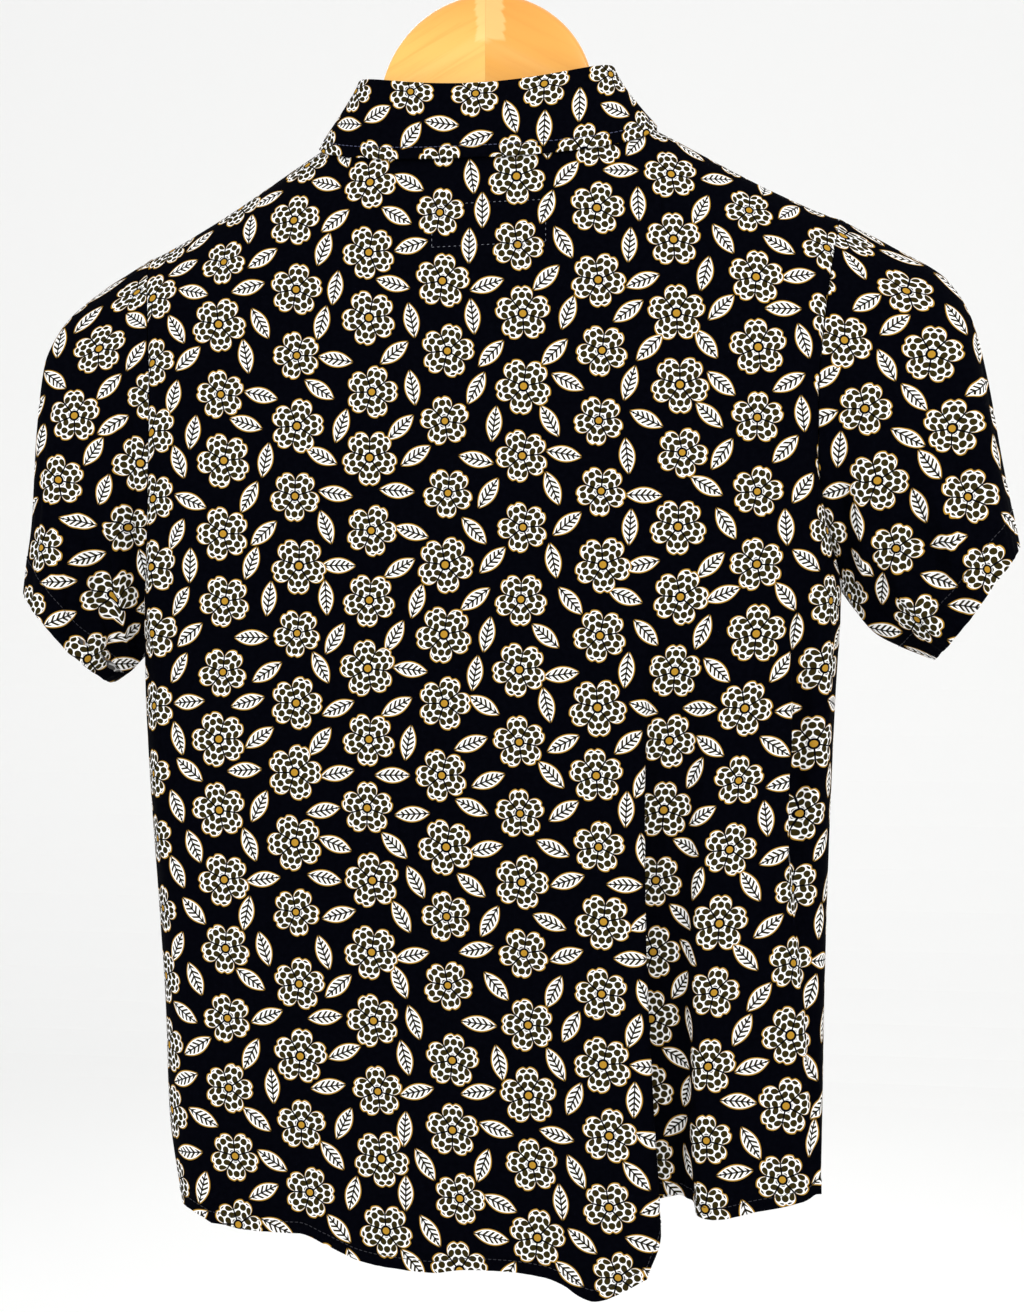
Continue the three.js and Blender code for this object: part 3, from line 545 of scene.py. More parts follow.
def turnUp(p, depth, rise, around=False):
    # the hem's inner layer: round the edge, then up inside the cloth by the rise
    low = p[:, -1:]
    inward = -gridNormals(p, around)[:, -1:] * depth
    up = p[:, -4:-3] - low
    up = up / np.linalg.norm(up, axis=-1, keepdims=True)
    rows = [low + inward * 0.5 - up * 0.35, low + inward, low + inward + up * rise]
    return np.concatenate([p] + rows, 1)


def cutPast(uv, edge, distances):
    # the cut carried on past an edge, along its own last step
    axis, at = edgeOf(edge)
    rim = np.take(uv, [at], axis=axis)
    step = rim - np.take(uv, [1 if at == 0 else -2], axis=axis)
    step = step / np.maximum(np.linalg.norm(step, axis=-1, keepdims=True), 1e-9)
    return joinEdge(uv, [rim + step * d for d in distances], edge)


def hemRun(depth, rise):
    # run of the cloth past the hem at each row of the turn
    return depth * 0.5, depth, depth + rise


def bodyCut(p, iZero, jZero):
    # across: run of each row in plan from one column; down: run of each column from one row
    step = np.diff(p, axis=0, prepend=p[:1])
    u = np.cumsum(np.hypot(step[..., 0], step[..., 1]), axis=0)
    step = np.diff(p, axis=1, prepend=p[:, :1])
    v = np.cumsum(np.hypot(step[..., 1], step[..., 2]), axis=1)
    v = v - v[:, jZero, None] - p[:, jZero, None, 2]
    return np.stack([u - u[iZero], v], -1)


def creases(a, b, rows):
    # each row (start, end, width, height, bow) raises a bell-shaped ridge along a bowed line,
    # highest at its middle and dying away past both its ends
    total = np.zeros(np.broadcast(a, b).shape)
    for x0, z0, x1, z1, width, height, bow in rows:
        dx, dz = x1 - x0, z1 - z0
        length = math.hypot(dx, dz)
        t = ((a - x0) * dx + (b - z0) * dz) / length**2
        s = np.clip(t, 0, 1)
        off = ((a - x0) * dz - (b - z0) * dx) / length - bow * 4 * s * (1 - s)
        past = np.maximum(np.maximum(-t, t - 1), 0) * length
        swell = 0.35 + 0.65 * np.sin(np.pi * np.clip(t, 0.08, 0.92))
        total = total + height * bump(off, width) * bump(past, width * 1.6) * swell
    return total


def ripple(t, phase):
    # uneven waves from four sines whose lengths have no common measure
    return sum(size * np.sin(2 * np.pi * t / length + phase * k)
               for k, (length, size) in enumerate(((7.1, 0.35), (10.3, 0.5), (15.7, 0.45), (4.9, 0.2)), 1))


def finish(obj, nodes):
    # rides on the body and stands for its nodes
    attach(obj, "root")
    if nodes:
        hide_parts(*nodes)
    return obj


# Materials

ink = {
    "ground": (0.0004, 0.0005, 0.0016), "pale": (0.88, 0.875, 0.87), "olive": (0.026, 0.019, 0.004),
    "ochre": (0.38, 0.205, 0.022), "pitchAcross": 47.0, "pitchDown": 43.0, "blossom": 17.7,
    "dotPitch": 4.5, "leaf": 11.5, "leafWidth": 5.0, "blossomJitter": 3.0, "leafJitter": 5.0,
    "leaves": ((-17.0, -21.0, 3.0), (-27.0, 0.0, 5.0)),   # shift across and down, and seed
    "reverseFade": 0.55, "faded": (0.10, 0.10, 0.105),
    "slubShare": 0.05, "slub": (0.012, 0.013, 0.02), "slubReverse": (0.30, 0.29, 0.28),
    "warpPitch": 0.55, "weftPitch": 0.5,
}


def nodeTools(tree):
    def link(value, socket):
        if isinstance(value, bpy.types.NodeSocket):
            tree.links.new(value, socket)
        else:
            socket.default_value = value

    def calc(operation, *values):
        node = tree.nodes.new("ShaderNodeMath")
        node.operation = operation
        for k, value in enumerate(values):
            link(value, node.inputs[k])
        return node.outputs[0]

    def ramp(value, low, high):
        # 0 below low, 1 above high, smooth between; low may be above high
        node = tree.nodes.new("ShaderNodeMapRange")
        node.interpolation_type = "SMOOTHSTEP"
        link(value, node.inputs["Value"])
        node.inputs["From Min"].default_value = min(low, high)
        node.inputs["From Max"].default_value = max(low, high)
        node.inputs["To Min"].default_value = 0 if low < high else 1
        node.inputs["To Max"].default_value = 1 if low < high else 0
        return node.outputs[0]

    def blend(share, under, over):
        node = tree.nodes.new("ShaderNodeMix")
        node.data_type = "RGBA"
        link(share, node.inputs[0])
        link(under if isinstance(under, bpy.types.NodeSocket) else (*under, 1), node.inputs[6])
        link(over if isinstance(over, bpy.types.NodeSocket) else (*over, 1), node.inputs[7])
        return node.outputs[2]

    return link, calc, ramp, blend


def newMaterial(name, roughness, specular, metal=0.0):
    material = bpy.data.materials.new(name)
    material.use_nodes = True
    shader = material.node_tree.nodes["Principled BSDF"]
    shader.inputs["Roughness"].default_value = roughness
    shader.inputs["Specular IOR Level"].default_value = specular
    shader.inputs["Metallic"].default_value = metal
    return material, material.node_tree, shader


def scatter(tree, u, v, shiftU, shiftV, seed, jitter):
    # half-drop lattice: place inside the cell, in mm, and the cell's own three random numbers
    link, calc, _, _ = nodeTools(tree)
    across, down = ink["pitchAcross"], ink["pitchDown"]
    u, v = calc("ADD", u, shiftU), calc("ADD", v, shiftV)
    column = calc("FLOOR", calc("DIVIDE", u, across))
    half = calc("MULTIPLY", calc("FLOORED_MODULO", column, 2.0), 0.5)
    row = calc("FLOOR", calc("ADD", calc("DIVIDE", v, down), half))
    x = calc("SUBTRACT", u, calc("MULTIPLY", calc("ADD", column, 0.5), across))
    y = calc("SUBTRACT", v, calc("MULTIPLY", calc("SUBTRACT", calc("ADD", row, 0.5), half), down))
    cell = tree.nodes.new("ShaderNodeCombineXYZ")
    link(column, cell.inputs[0])
    link(row, cell.inputs[1])
    cell.inputs[2].default_value = seed
    noise = tree.nodes.new("ShaderNodeTexWhiteNoise")
    noise.noise_dimensions = "3D"
    link(cell.outputs[0], noise.inputs["Vector"])
    parts = tree.nodes.new("ShaderNodeSeparateColor")
    link(noise.outputs["Color"], parts.inputs[0])
    a, b, c = parts.outputs
    x = calc("SUBTRACT", x, calc("MULTIPLY", calc("SUBTRACT", a, 0.5), jitter))
    y = calc("SUBTRACT", y, calc("MULTIPLY", calc("SUBTRACT", b, 0.5), jitter))
    return x, y, a, b, c


def leafPrint(tree, x, y, chance, under):
    # a pointed leaf: half width falls as one minus the square of the way along; slanting veins
    _, calc, ramp, blend = nodeTools(tree)
    turn = calc("MULTIPLY", chance, 6.283)
    c, s = calc("COSINE", turn), calc("SINE", turn)
    along = calc("ADD", calc("MULTIPLY", x, c), calc("MULTIPLY", y, s))
    side = calc("ABSOLUTE", calc("SUBTRACT", calc("MULTIPLY", y, c), calc("MULTIPLY", x, s)))
    share = calc("DIVIDE", along, ink["leaf"])
    edge = calc("MULTIPLY", calc("SUBTRACT", 1.0, calc("MULTIPLY", share, share)), ink["leafWidth"])
    past = calc("SUBTRACT", side, edge)
    inside = ramp(past, 0.15, -0.15)
    rim = ramp(past, -0.85, -0.6)
    vein = calc("FRACT", calc("DIVIDE", calc("ADD", along, calc("MULTIPLY", side, 0.9)), 3.4))
    bars = calc("MULTIPLY", ramp(calc("ABSOLUTE", calc("SUBTRACT", vein, 0.5)), 0.27, 0.2),
                ramp(past, -1.2, -1.6))
    rib = ramp(side, 0.55, 0.35)
    colour = blend(bars, ink["pale"], ink["olive"])
    colour = blend(rim, colour, ink["ochre"])
    colour = blend(calc("MULTIPLY", rib, 0.95), colour, ink["ground"])
    return blend(inside, under, colour)


def blossomPrint(tree, x, y, a, b, c, under):
    # five petals: the outline's radius follows a root curve across each petal, with a notch at its
    # middle; rows of dots run round and along the petals
    _, calc, ramp, blend = nodeTools(tree)
    radius = calc("MULTIPLY", calc("ADD", calc("MULTIPLY", c, 0.16), 0.86), ink["blossom"])
    far = calc("SQRT", calc("ADD", calc("MULTIPLY", x, x), calc("MULTIPLY", y, y)))
    r = calc("DIVIDE", far, radius)
    turn = calc("ADD", calc("ARCTAN2", y, x), calc("MULTIPLY", calc("ADD", a, b), 6.283))
    f = calc("SUBTRACT", calc("FRACT", calc("ADD", calc("DIVIDE", turn, 2 * math.pi / 5), 20.0)), 0.5)
    away = calc("ABSOLUTE", f)
    curve = calc("SUBTRACT", 1.0, calc("POWER", calc("MULTIPLY", away, 2.0), 2.6))
    edge = calc("ADD", calc("MULTIPLY", calc("SQRT", calc("MAXIMUM", curve, 0.0)), 0.58), 0.42)
    edge = calc("SUBTRACT", edge, calc("MULTIPLY", ramp(away, 0.10, 0.0), 0.07))
    past = calc("MULTIPLY", calc("SUBTRACT", r, edge), radius)
    inside = ramp(past, 0.15, -0.15)
    rim = ramp(past, -0.95, -0.7)
    ring = calc("DIVIDE", far, ink["dotPitch"])
    arc = calc("DIVIDE", calc("MULTIPLY", calc("MULTIPLY", f, 2 * math.pi / 5), far), ink["dotPitch"])
    odd = calc("MULTIPLY", calc("FLOORED_MODULO", calc("FLOOR", ring), 2.0), 0.5)
    up = calc("SUBTRACT", calc("FRACT", ring), 0.5)
    over = calc("SUBTRACT", calc("FRACT", calc("ADD", calc("ADD", arc, odd), 20.5)), 0.5)
    dot = calc("SQRT", calc("ADD", calc("MULTIPLY", up, up), calc("MULTIPLY", over, over)))
    dots = calc("MULTIPLY", ramp(dot, 0.49, 0.43), ramp(past, -1.2, -1.6))
    dots = calc("MULTIPLY", dots, ramp(r, 0.2, 0.24))
    gap = calc("MULTIPLY", calc("MULTIPLY", calc("SUBTRACT", 0.5, away), 2 * math.pi / 5), far)
    split = ramp(gap, 0.65, 0.35)
    eye = ramp(r, 0.21, 0.19)
    core = ramp(r, 0.13, 0.11)
    colour = blend(dots, ink["pale"], ink["olive"])
    colour = blend(rim, colour, ink["ochre"])
    colour = blend(split, colour, ink["ground"])
    colour = blend(eye, colour, ink["ground"])
    colour = blend(core, colour, ink["ochre"])
    return blend(inside, under, colour)


def printedCloth(name, shift=(0.0, 0.0), turned=False, reverse=False):
    material, tree, shader = newMaterial(name, 0.82, 0.008)
    link, calc, ramp, blend = nodeTools(tree)
    place = tree.nodes.new("ShaderNodeUVMap")
    place.uv_map = "cut"
    axes = tree.nodes.new("ShaderNodeSeparateXYZ")
    link(place.outputs[0], axes.inputs[0])
    u, v = axes.outputs[1 if turned else 0], axes.outputs[0 if turned else 1]
    u = calc("ADD", calc("MULTIPLY", u, 1000.0), shift[0])
    v = calc("ADD", calc("MULTIPLY", v, 1000.0), shift[1])
    colour = ink["ground"]
    for shiftU, shiftV, seed in ink["leaves"]:
        x, y, a, b, c = scatter(tree, u, v, shiftU, shiftV, seed, ink["leafJitter"])
        colour = leafPrint(tree, x, y, c, colour)
    x, y, a, b, c = scatter(tree, u, v, 0.0, 0.0, 1.0, ink["blossomJitter"])
    colour = blossomPrint(tree, x, y, a, b, c, colour)
    if reverse:
        colour = blend(ink["reverseFade"], colour, ink["faded"])
    slub = tree.nodes.new("ShaderNodeTexNoise")
    slub.inputs["Scale"].default_value = 320
    slub.inputs["Detail"].default_value = 4
    link(place.outputs[0], slub.inputs["Vector"])
    shade = ramp(slub.outputs[0], 0.25, 0.75)
    slubColour = ink["slubReverse"] if reverse else ink["slub"]
    colour = blend(calc("MULTIPLY", shade, ink["slubShare"]), colour, slubColour)
    link(colour, shader.inputs["Base Color"])
    weave = calc("ADD", calc("SINE", calc("MULTIPLY", u, 2 * math.pi / ink["warpPitch"])),
                 calc("SINE", calc("MULTIPLY", v, 2 * math.pi / ink["weftPitch"])))
    height = calc("ADD", calc("MULTIPLY", weave, 0.12), slub.outputs[0])
    relief = tree.nodes.new("ShaderNodeBump")
    relief.inputs["Strength"].default_value = 0.25
    relief.inputs["Distance"].default_value = 0.0004
    link(height, relief.inputs["Height"])
    link(relief.outputs[0], shader.inputs["Normal"])
    return material


def threadMaterial(name, colour):
    material, tree, shader = newMaterial(name, 0.55, 0.3)
    link, _, _, blend = nodeTools(tree)
    place = tree.nodes.new("ShaderNodeTexCoord")
    twist = tree.nodes.new("ShaderNodeTexNoise")
    twist.inputs["Scale"].default_value = 2500
    link(place.outputs["Object"], twist.inputs["Vector"])
    dark = tuple(c * 0.55 for c in colour)
    link(blend(twist.outputs[0], dark, colour), shader.inputs["Base Color"])
    return material


wood = {
    # left and right are one wood, lit and shaded: the right half's darker tint is painted shade
    "left": (0.80, 0.43, 0.09), "right": (0.68, 0.314, 0.047), "dark": (0.61, 0.24, 0.03),
    "pale": (0.95, 0.70, 0.33), "grainScale": 260, "stretch": (16, 1.6, 1.0), "darkShare": 0.30,
    "paleShare": 0.12, "patch": (3, -85, 9, 15), "patchShare": 0.3,
    # painted shade on the head: heights in mm where it starts and where it is full, and its share
    "paintedTopShade": (-110, -62), "paintedTopShadeShare": 0.8,
}


def woodMaterial(name, tint, tilt):
    # noise drawn out along the grain, darkest in thin lines, over a slow change of tone; painted shade
    # darkens the head towards its top, and a paler patch covers the joint
    material, tree, shader = newMaterial(name, 0.34, 0.45)
    shader.inputs["Coat Weight"].default_value = 0.25
    shader.inputs["Coat Roughness"].default_value = 0.18
    link, calc, ramp, blend = nodeTools(tree)
    place = tree.nodes.new("ShaderNodeTexCoord")
    grain = tree.nodes.new("ShaderNodeMapping")
    grain.vector_type = "TEXTURE"
    grain.inputs["Rotation"].default_value = (0, tilt, 0)
    grain.inputs["Scale"].default_value = wood["stretch"]
    link(place.outputs["Object"], grain.inputs["Vector"])
    lines = tree.nodes.new("ShaderNodeTexNoise")
    lines.inputs["Scale"].default_value = wood["grainScale"]
    lines.inputs["Detail"].default_value = 6
    lines.inputs["Distortion"].default_value = 0.35
    link(grain.outputs[0], lines.inputs["Vector"])
    slow = tree.nodes.new("ShaderNodeTexNoise")
    slow.inputs["Scale"].default_value = 38
    link(grain.outputs[0], slow.inputs["Vector"])
    dark = calc("MULTIPLY", ramp(lines.outputs[0], 0.48, 0.72), wood["darkShare"])
    colour = blend(dark, tint, wood["dark"])
    pale = calc("MULTIPLY", ramp(slow.outputs[0], 0.42, 0.62), wood["paleShare"])
    colour = blend(pale, colour, wood["pale"])
    axes = tree.nodes.new("ShaderNodeSeparateXYZ")
    link(place.outputs["Object"], axes.inputs[0])
    # painted shade: the colour darkens towards the head's top, where the light falls off
    low, high = (n * mm for n in wood["paintedTopShade"])
    paintedTopShade = calc("MULTIPLY", ramp(axes.outputs[2], low, high), wood["paintedTopShadeShare"])
    colour = blend(paintedTopShade, colour, wood["dark"])
    x, z, halfWide, halfHigh = (n * mm for n in wood["patch"])
    nearX = calc("DIVIDE", calc("SUBTRACT", axes.outputs[0], x), halfWide)
    nearZ = calc("DIVIDE", calc("SUBTRACT", axes.outputs[2], z), halfHigh)
    off = calc("MAXIMUM", calc("ABSOLUTE", nearX), calc("ABSOLUTE", nearZ))
    off = calc("ADD", off, calc("MULTIPLY", calc("SUBTRACT", lines.outputs[0], 0.5), 0.9))
    patch = calc("MULTIPLY", ramp(off, 1.1, 0.85), wood["patchShare"])
    colour = blend(patch, colour, wood["pale"])
    link(colour, shader.inputs["Base Color"])
    relief = tree.nodes.new("ShaderNodeBump")
    relief.inputs["Strength"].default_value = 0.15
    relief.inputs["Distance"].default_value = 0.0003
    link(lines.outputs[0], relief.inputs["Height"])
    link(relief.outputs[0], shader.inputs["Normal"])
    return material


def steelMaterial():
    material, tree, shader = newMaterial("brightSteel", 0.24, 0.5, 1.0)
    link, calc, _, blend = nodeTools(tree)
    place = tree.nodes.new("ShaderNodeTexCoord")
    wear = tree.nodes.new("ShaderNodeTexNoise")
    wear.inputs["Scale"].default_value = 420
    wear.inputs["Detail"].default_value = 5
    link(place.outputs["Object"], wear.inputs["Vector"])
    link(blend(wear.outputs[0], (0.50, 0.51, 0.53), (0.80, 0.80, 0.80)), shader.inputs["Base Color"])
    link(calc("ADD", calc("MULTIPLY", wear.outputs[0], 0.22), 0.14), shader.inputs["Roughness"])
    return material


def buttonMaterial():
    material, tree, shader = newMaterial("coconutShell", 0.36, 0.5)
    link, _, ramp, blend = nodeTools(tree)
    place = tree.nodes.new("ShaderNodeTexCoord")
    flecks = tree.nodes.new("ShaderNodeTexNoise")
    flecks.inputs["Scale"].default_value = 900
    flecks.inputs["Detail"].default_value = 5
    stretch = tree.nodes.new("ShaderNodeMapping")
    stretch.inputs["Scale"].default_value = (0.25, 1, 1)
    link(place.outputs["Object"], stretch.inputs["Vector"])
    link(stretch.outputs[0], flecks.inputs["Vector"])
    colour = blend(ramp(flecks.outputs[0], 0.35, 0.7), (0.022, 0.012, 0.008), (0.14, 0.075, 0.04))
    link(colour, shader.inputs["Base Color"])
    relief = tree.nodes.new("ShaderNodeBump")
    relief.inputs["Strength"].default_value = 0.2
    relief.inputs["Distance"].default_value = 0.0002
    link(flecks.outputs[0], relief.inputs["Height"])
    link(relief.outputs[0], shader.inputs["Normal"])
    return material


clothInside = printedCloth("shirtClothReverse", (9.0, 4.0), reverse=True)
threads = {
    "dark": threadMaterial("darkThread", (0.020, 0.020, 0.028)),
    "blue": threadMaterial("blueThread", (0.07, 0.08, 0.15)),
    "grey": threadMaterial("greyThread", (0.20, 0.21, 0.24)),
}
print("shirt: materials made")


# Stitches

stitches = {
    "seam": {"pitch": 3.1, "length": 2.3, "radius": 0.24, "lift": 0.1},
    "label": {"pitch": 3.4, "length": 1.5, "radius": 0.17, "lift": 0.06},
    "button": {"pitch": 9.0, "length": 2.7, "radius": 0.2, "lift": 0.2},
    "buttonhole": {"pitch": 9.0, "length": 1.4, "radius": 0.2, "lift": 0.05},
    "sides": 5, "start": 0.4, "proud": 0.12,
}


def seamLine(p, n, rows, at):
    # the row of points that a seam's stitches follow, just proud of the cloth, and its normals
    row = at - len(rows)
    return p[:, row] + n[:, row] * stitches["proud"], n[:, row]


def stitchRun(name, lines, thread, kind="seam"):
    # each stitch is a five-sided rod, thinner and lower at both ends, laid along a line of points;
    # lines holds pairs of points and outward normals
    size = stitches[kind]
    starts, ends, outs = [], [], []
    for p, n in lines:
        run = np.concatenate([[0], np.cumsum(np.linalg.norm(np.diff(p, axis=0), axis=1))])
        at = np.arange(stitches["start"], run[-1] - size["length"], size["pitch"])
        look = lambda a, s: np.stack([np.interp(s, run, a[:, k]) for k in range(3)], 1)
        starts.append(look(p, at))
        ends.append(look(p, at + size["length"]))
        outs.append(look(n, at + size["length"] / 2))
    a, b, n = np.concatenate(starts), np.concatenate(ends), np.concatenate(outs)
    along = b - a
    along = along / np.linalg.norm(along, axis=1, keepdims=True)
    out = n - along * np.sum(n * along, 1, keepdims=True)
    out = out / np.linalg.norm(out, axis=1, keepdims=True)
    side = np.cross(along, out)
    share = np.array([0, 0.2, 0.8, 1])
    girth = np.array([0.35, 1, 1, 0.35]) * size["radius"]
    lift = np.array([-0.6, 1, 1, -0.6]) * size["lift"]
    turn = np.arange(stitches["sides"]) * 2 * np.pi / stitches["sides"]
    centre = (a[:, None] + (b - a)[:, None] * share[None, :, None] + out[:, None] * lift[None, :, None])
    ring = (out[:, None] * np.cos(turn)[None, :, None] + side[:, None] * np.sin(turn)[None, :, None])
    verts = centre[:, :, None] + ring[:, None] * girth[None, :, None, None]
    count, nr, ns = len(a), len(share), len(turn)
    base = (np.arange(count) * nr * ns)[:, None, None]
    r, k = np.meshgrid(np.arange(nr - 1), np.arange(ns), indexing="ij")
    quads = np.stack([r * ns + k, r * ns + (k + 1) % ns, (r + 1) * ns + (k + 1) % ns, (r + 1) * ns + k], -1)
    quads = (base[..., None] + quads[None]).reshape(-1, 4)
    cap = np.arange(ns)
    first = base[:, 0] + cap[::-1]
    last = base[:, 0] + (nr - 1) * ns + cap
    obj = makeMesh(name, verts, quads.tolist() + first.tolist() + last.tolist())
    obj.data.materials.append(threads[thread])
    return finish(obj, ())


# Body

cloth = {
    "wall": 0.7, "hemDepth": 1.5, "hemRise": 7.0, "turnIn": (0.8, 3.2),
    "hemRows": (14.0, 11.0, 8.6, 7.5, 7.0, 6.5, 5.4, 3.4, 1.6, 0.6, 0.0), "stitchRow": 4,
    "groove": 0.22, "bandLift": 0.25, "wave": 0.6, "rowsAbove": 56, "rowsBelow": 74,
    "pucker": 0.4, "puckerRun": 9, "puckerLow": -500, "puckerFade": 30, "armholeX": (-222, 220),
    "hemPucker": 0.22, "shoulderQuiet": 22, "endQuiet": 0.12,
}

backCreases = [
    (112, -245, 152, -420, 9, -1.6, 6), (136, -232, 176, -395, 8, 1.4, 5),
    (196, -330, 150, -470, 8, -2.0, 6), (199, -380, 162, -520, 7, 1.6, 4),
    (206, -440, 160, -560, 9, -2.2, 5), (190, -300, 172, -420, 6, 1.1, -4),
    (-202, -395, -186, -520, 7, -1.8, 4), (-192, -380, -176, -560, 9, 1.3, 3),
    (-210, -500, -165, -610, 10, -2.0, -6), (-206, -460, -178, -505, 6, 1.2, 3),
    (30, -600, 46, -850, 13, -2.0, 4), (62, -570, 68, -850, 12, 2.2, 3),
    (-58, -650, -66, -850, 20, -1.2, 5), (-118, -690, -128, -845, 16, 1.3, -4),
    (-152, -780, -154, -845, 8, -1.5, 0), (8, -800, 13, -856, 8, 1.2, 0),
    (150, -560, 160, -800, 9, -1.8, 4), (166, -600, 172, -790, 7, 1.5, -3),
    (198, -448, 194, -600, 5, -6.5, 1.5), (206, -452, 205, -570, 4.5, 2.6, -1),
    (189, -560, 187, -700, 5.5, -4.5, 2), (178, -470, 182, -610, 6, 1.8, -2),
    (129, -765, 127, -826, 3.2, 2.4, 1), (120, -780, 121, -830, 4, -1.6, 0),
    (134, -560, 131, -720, 5, 1.5, 1.5), (-206, -400, -204, -500, 4.5, 2.6, 2),
    (-197, -410, -193, -540, 5, -3.0, -1.5), (-204, -520, -196, -640, 5, 2.0, 3),
    (-60, -215, -104, -268, 12, -0.9, 4), (55, -215, 108, -292, 12, 1.0, -5),
    (-150, -250, -190, -330, 10, 0.9, 6),
]

frontCreases = [
    (-110, -250, -160, -420, 10, -1.5, -6), (112, -250, 158, -410, 10, 1.4, 5),
    (-196, -340, -140, -480, 9, -2.0, -5), (198, -330, 150, -470, 8, 1.8, 6),
    (-205, -440, -150, -560, 9, 1.8, 4), (206, -430, 156, -570, 9, -2.2, 5),
    (-30, -420, -46, -700, 14, 1.2, 5), (40, -520, 52, -800, 13, -1.5, -4),
    (-90, -600, -86, -850, 11, 1.8, 3), (104, -640, 110, -840, 12, 1.6, 0),
    (-160, -640, -150, -830, 10, -1.6, 4), (168, -600, 160, -800, 9, -1.4, 3),
    (24, -300, 60, -380, 9, -0.9, 3), (-28, -300, -64, -390, 9, 0.9, -3),
]


def softWaves(x, z):
    return cloth["wave"] * (np.sin(x / 31 + z / 97 + 1) * 0.6 + np.sin(x / 53 - z / 71) * 0.5)


def hemBand(above):
    # a doubled band, proud of the cloth, drawn in where the thread holds it
    return (cloth["bandLift"] * smooth((cloth["hemRise"] + 0.8 - above) / 0.8)
            - cloth["groove"] * bump(above - cloth["hemRise"], 0.7))


def bodyHeights(top, hem, x):
    # down each column: to the armpit's level, closer at both ends, then evenly, then the hem's rows
    across = smooth((x + body["halfWidth"]) / (2 * body["halfWidth"]))
    level = mix(body["leftPit"], body["rightPit"], across)
    band = np.array(cloth["hemRows"])
    upper = (1 - np.cos(np.linspace(0, np.pi, cloth["rowsAbove"] + 1))) / 2
    lower = np.linspace(0, 1, cloth["rowsBelow"] + 1)[1:-1]
    return np.concatenate([mix(top[:, None], level[:, None], upper[None]),
                           mix(level[:, None], hem[:, None] + band[0], lower[None]),
                           hem[:, None] + band[None]], 1)


def armholePuckers(z, sideRun, shift, phase):
    # short waves along the armhole, dying away beside it and below the armpit
    near = smooth((z - cloth["puckerLow"]) / cloth["puckerFade"])
    near = near * np.exp(-np.maximum(sideRun, 0) / cloth["puckerRun"])
    return cloth["pucker"] * ripple(z + shift, phase) * near


def backRelief(x, z, station, above):
    # creases and slow waves, quiet at the side seams and shoulders, with puckers beside the seams
    ends = np.minimum(station, 7 - station)
    quiet = smooth(ends / 0.5) * smooth((shoulderZ(x) - z) / cloth["shoulderQuiet"])
    left, right = cloth["armholeX"]
    puckers = armholePuckers(z, np.where(station < 3.5, x - left, right - x), 3, 1.3)
    hemPucker = cloth["hemPucker"] * ripple(x, 2.1) * np.exp(-(above / cloth["puckerRun"]) ** 2)
    return ((creases(x, z, backCreases) + softWaves(x, z)) * quiet
            + (puckers + hemPucker) * smooth(ends / cloth["endQuiet"]))


def hemmedPanel(name, p, uv, edges, material, node):
    # the hem turned up, the listed edges turned in and the wall grown inwards
    p = turnUp(p, cloth["hemDepth"], cloth["hemRise"])
    uv = cutPast(uv, "bottom", hemRun(cloth["hemDepth"], cloth["hemRise"]))
    for edge in edges:
        p, uv = turnIn(p, edge, cloth["turnIn"]), cutPast(uv, edge, cloth["turnIn"])
    obj = gridMesh(name, p, [uv])
    wall(obj, cloth["wall"], material, clothInside)
    return finish(obj, (node,))


def backPanel():
    topLeft, topRight = body["leftTopX"] + body["edgeBand"], float(backFold(body["topZ"], "x"))
    share = lambda x: 1 + (x - topLeft) / (topRight - topLeft)
    neck = share(body["neckHalf"] * np.sin(np.radians(np.linspace(-90, 90, 61))))
    station = chain(np.linspace(0, 1, 13), np.linspace(1, neck[0], 33), neck, np.linspace(neck[-1], 2, 6),
                    np.linspace(2, 3, 22), np.linspace(3, 4, 30), np.linspace(4, 5, 18),
                    np.linspace(5, 6, 13), np.linspace(6, 7, 14))
    topX = backPath(station, np.full(len(station), float(body["topZ"])))[0]
    hem = backHem(station, "z")
    z = bodyHeights(topZ(topX, neckBackZ), hem, topX)
    p = backSurface(station[:, None], z)
    uv = bodyCut(p, int(np.argmin(np.abs(topX))), cloth["rowsAbove"])
    toHem = z - hem[:, None]
    relief = backRelief(p[..., 0], z, station[:, None], toHem) + hemBand(toHem)
    n = gridNormals(p)
    p = p + n * relief[..., None]
    hemLine = seamLine(p, n, cloth["hemRows"], cloth["stitchRow"])
    material = printedCloth("shirtClothBack")
    return hemmedPanel("backPanel", p, uv, ("top", "first", "last"), material, "back"), hemLine


def backAt(x, z):
    # the back's outer face at a place on its flat part, with its relief
    start = leftSide(z, "x") + leftSide(z, "bend")
    station = 1 + (x - start) / (backFold(z, "x") - start)
    p = backSurface(station, z)
    p[..., 1] -= backRelief(x, z, station, np.full_like(x, 300.0)) + stitches["proud"]
    return p


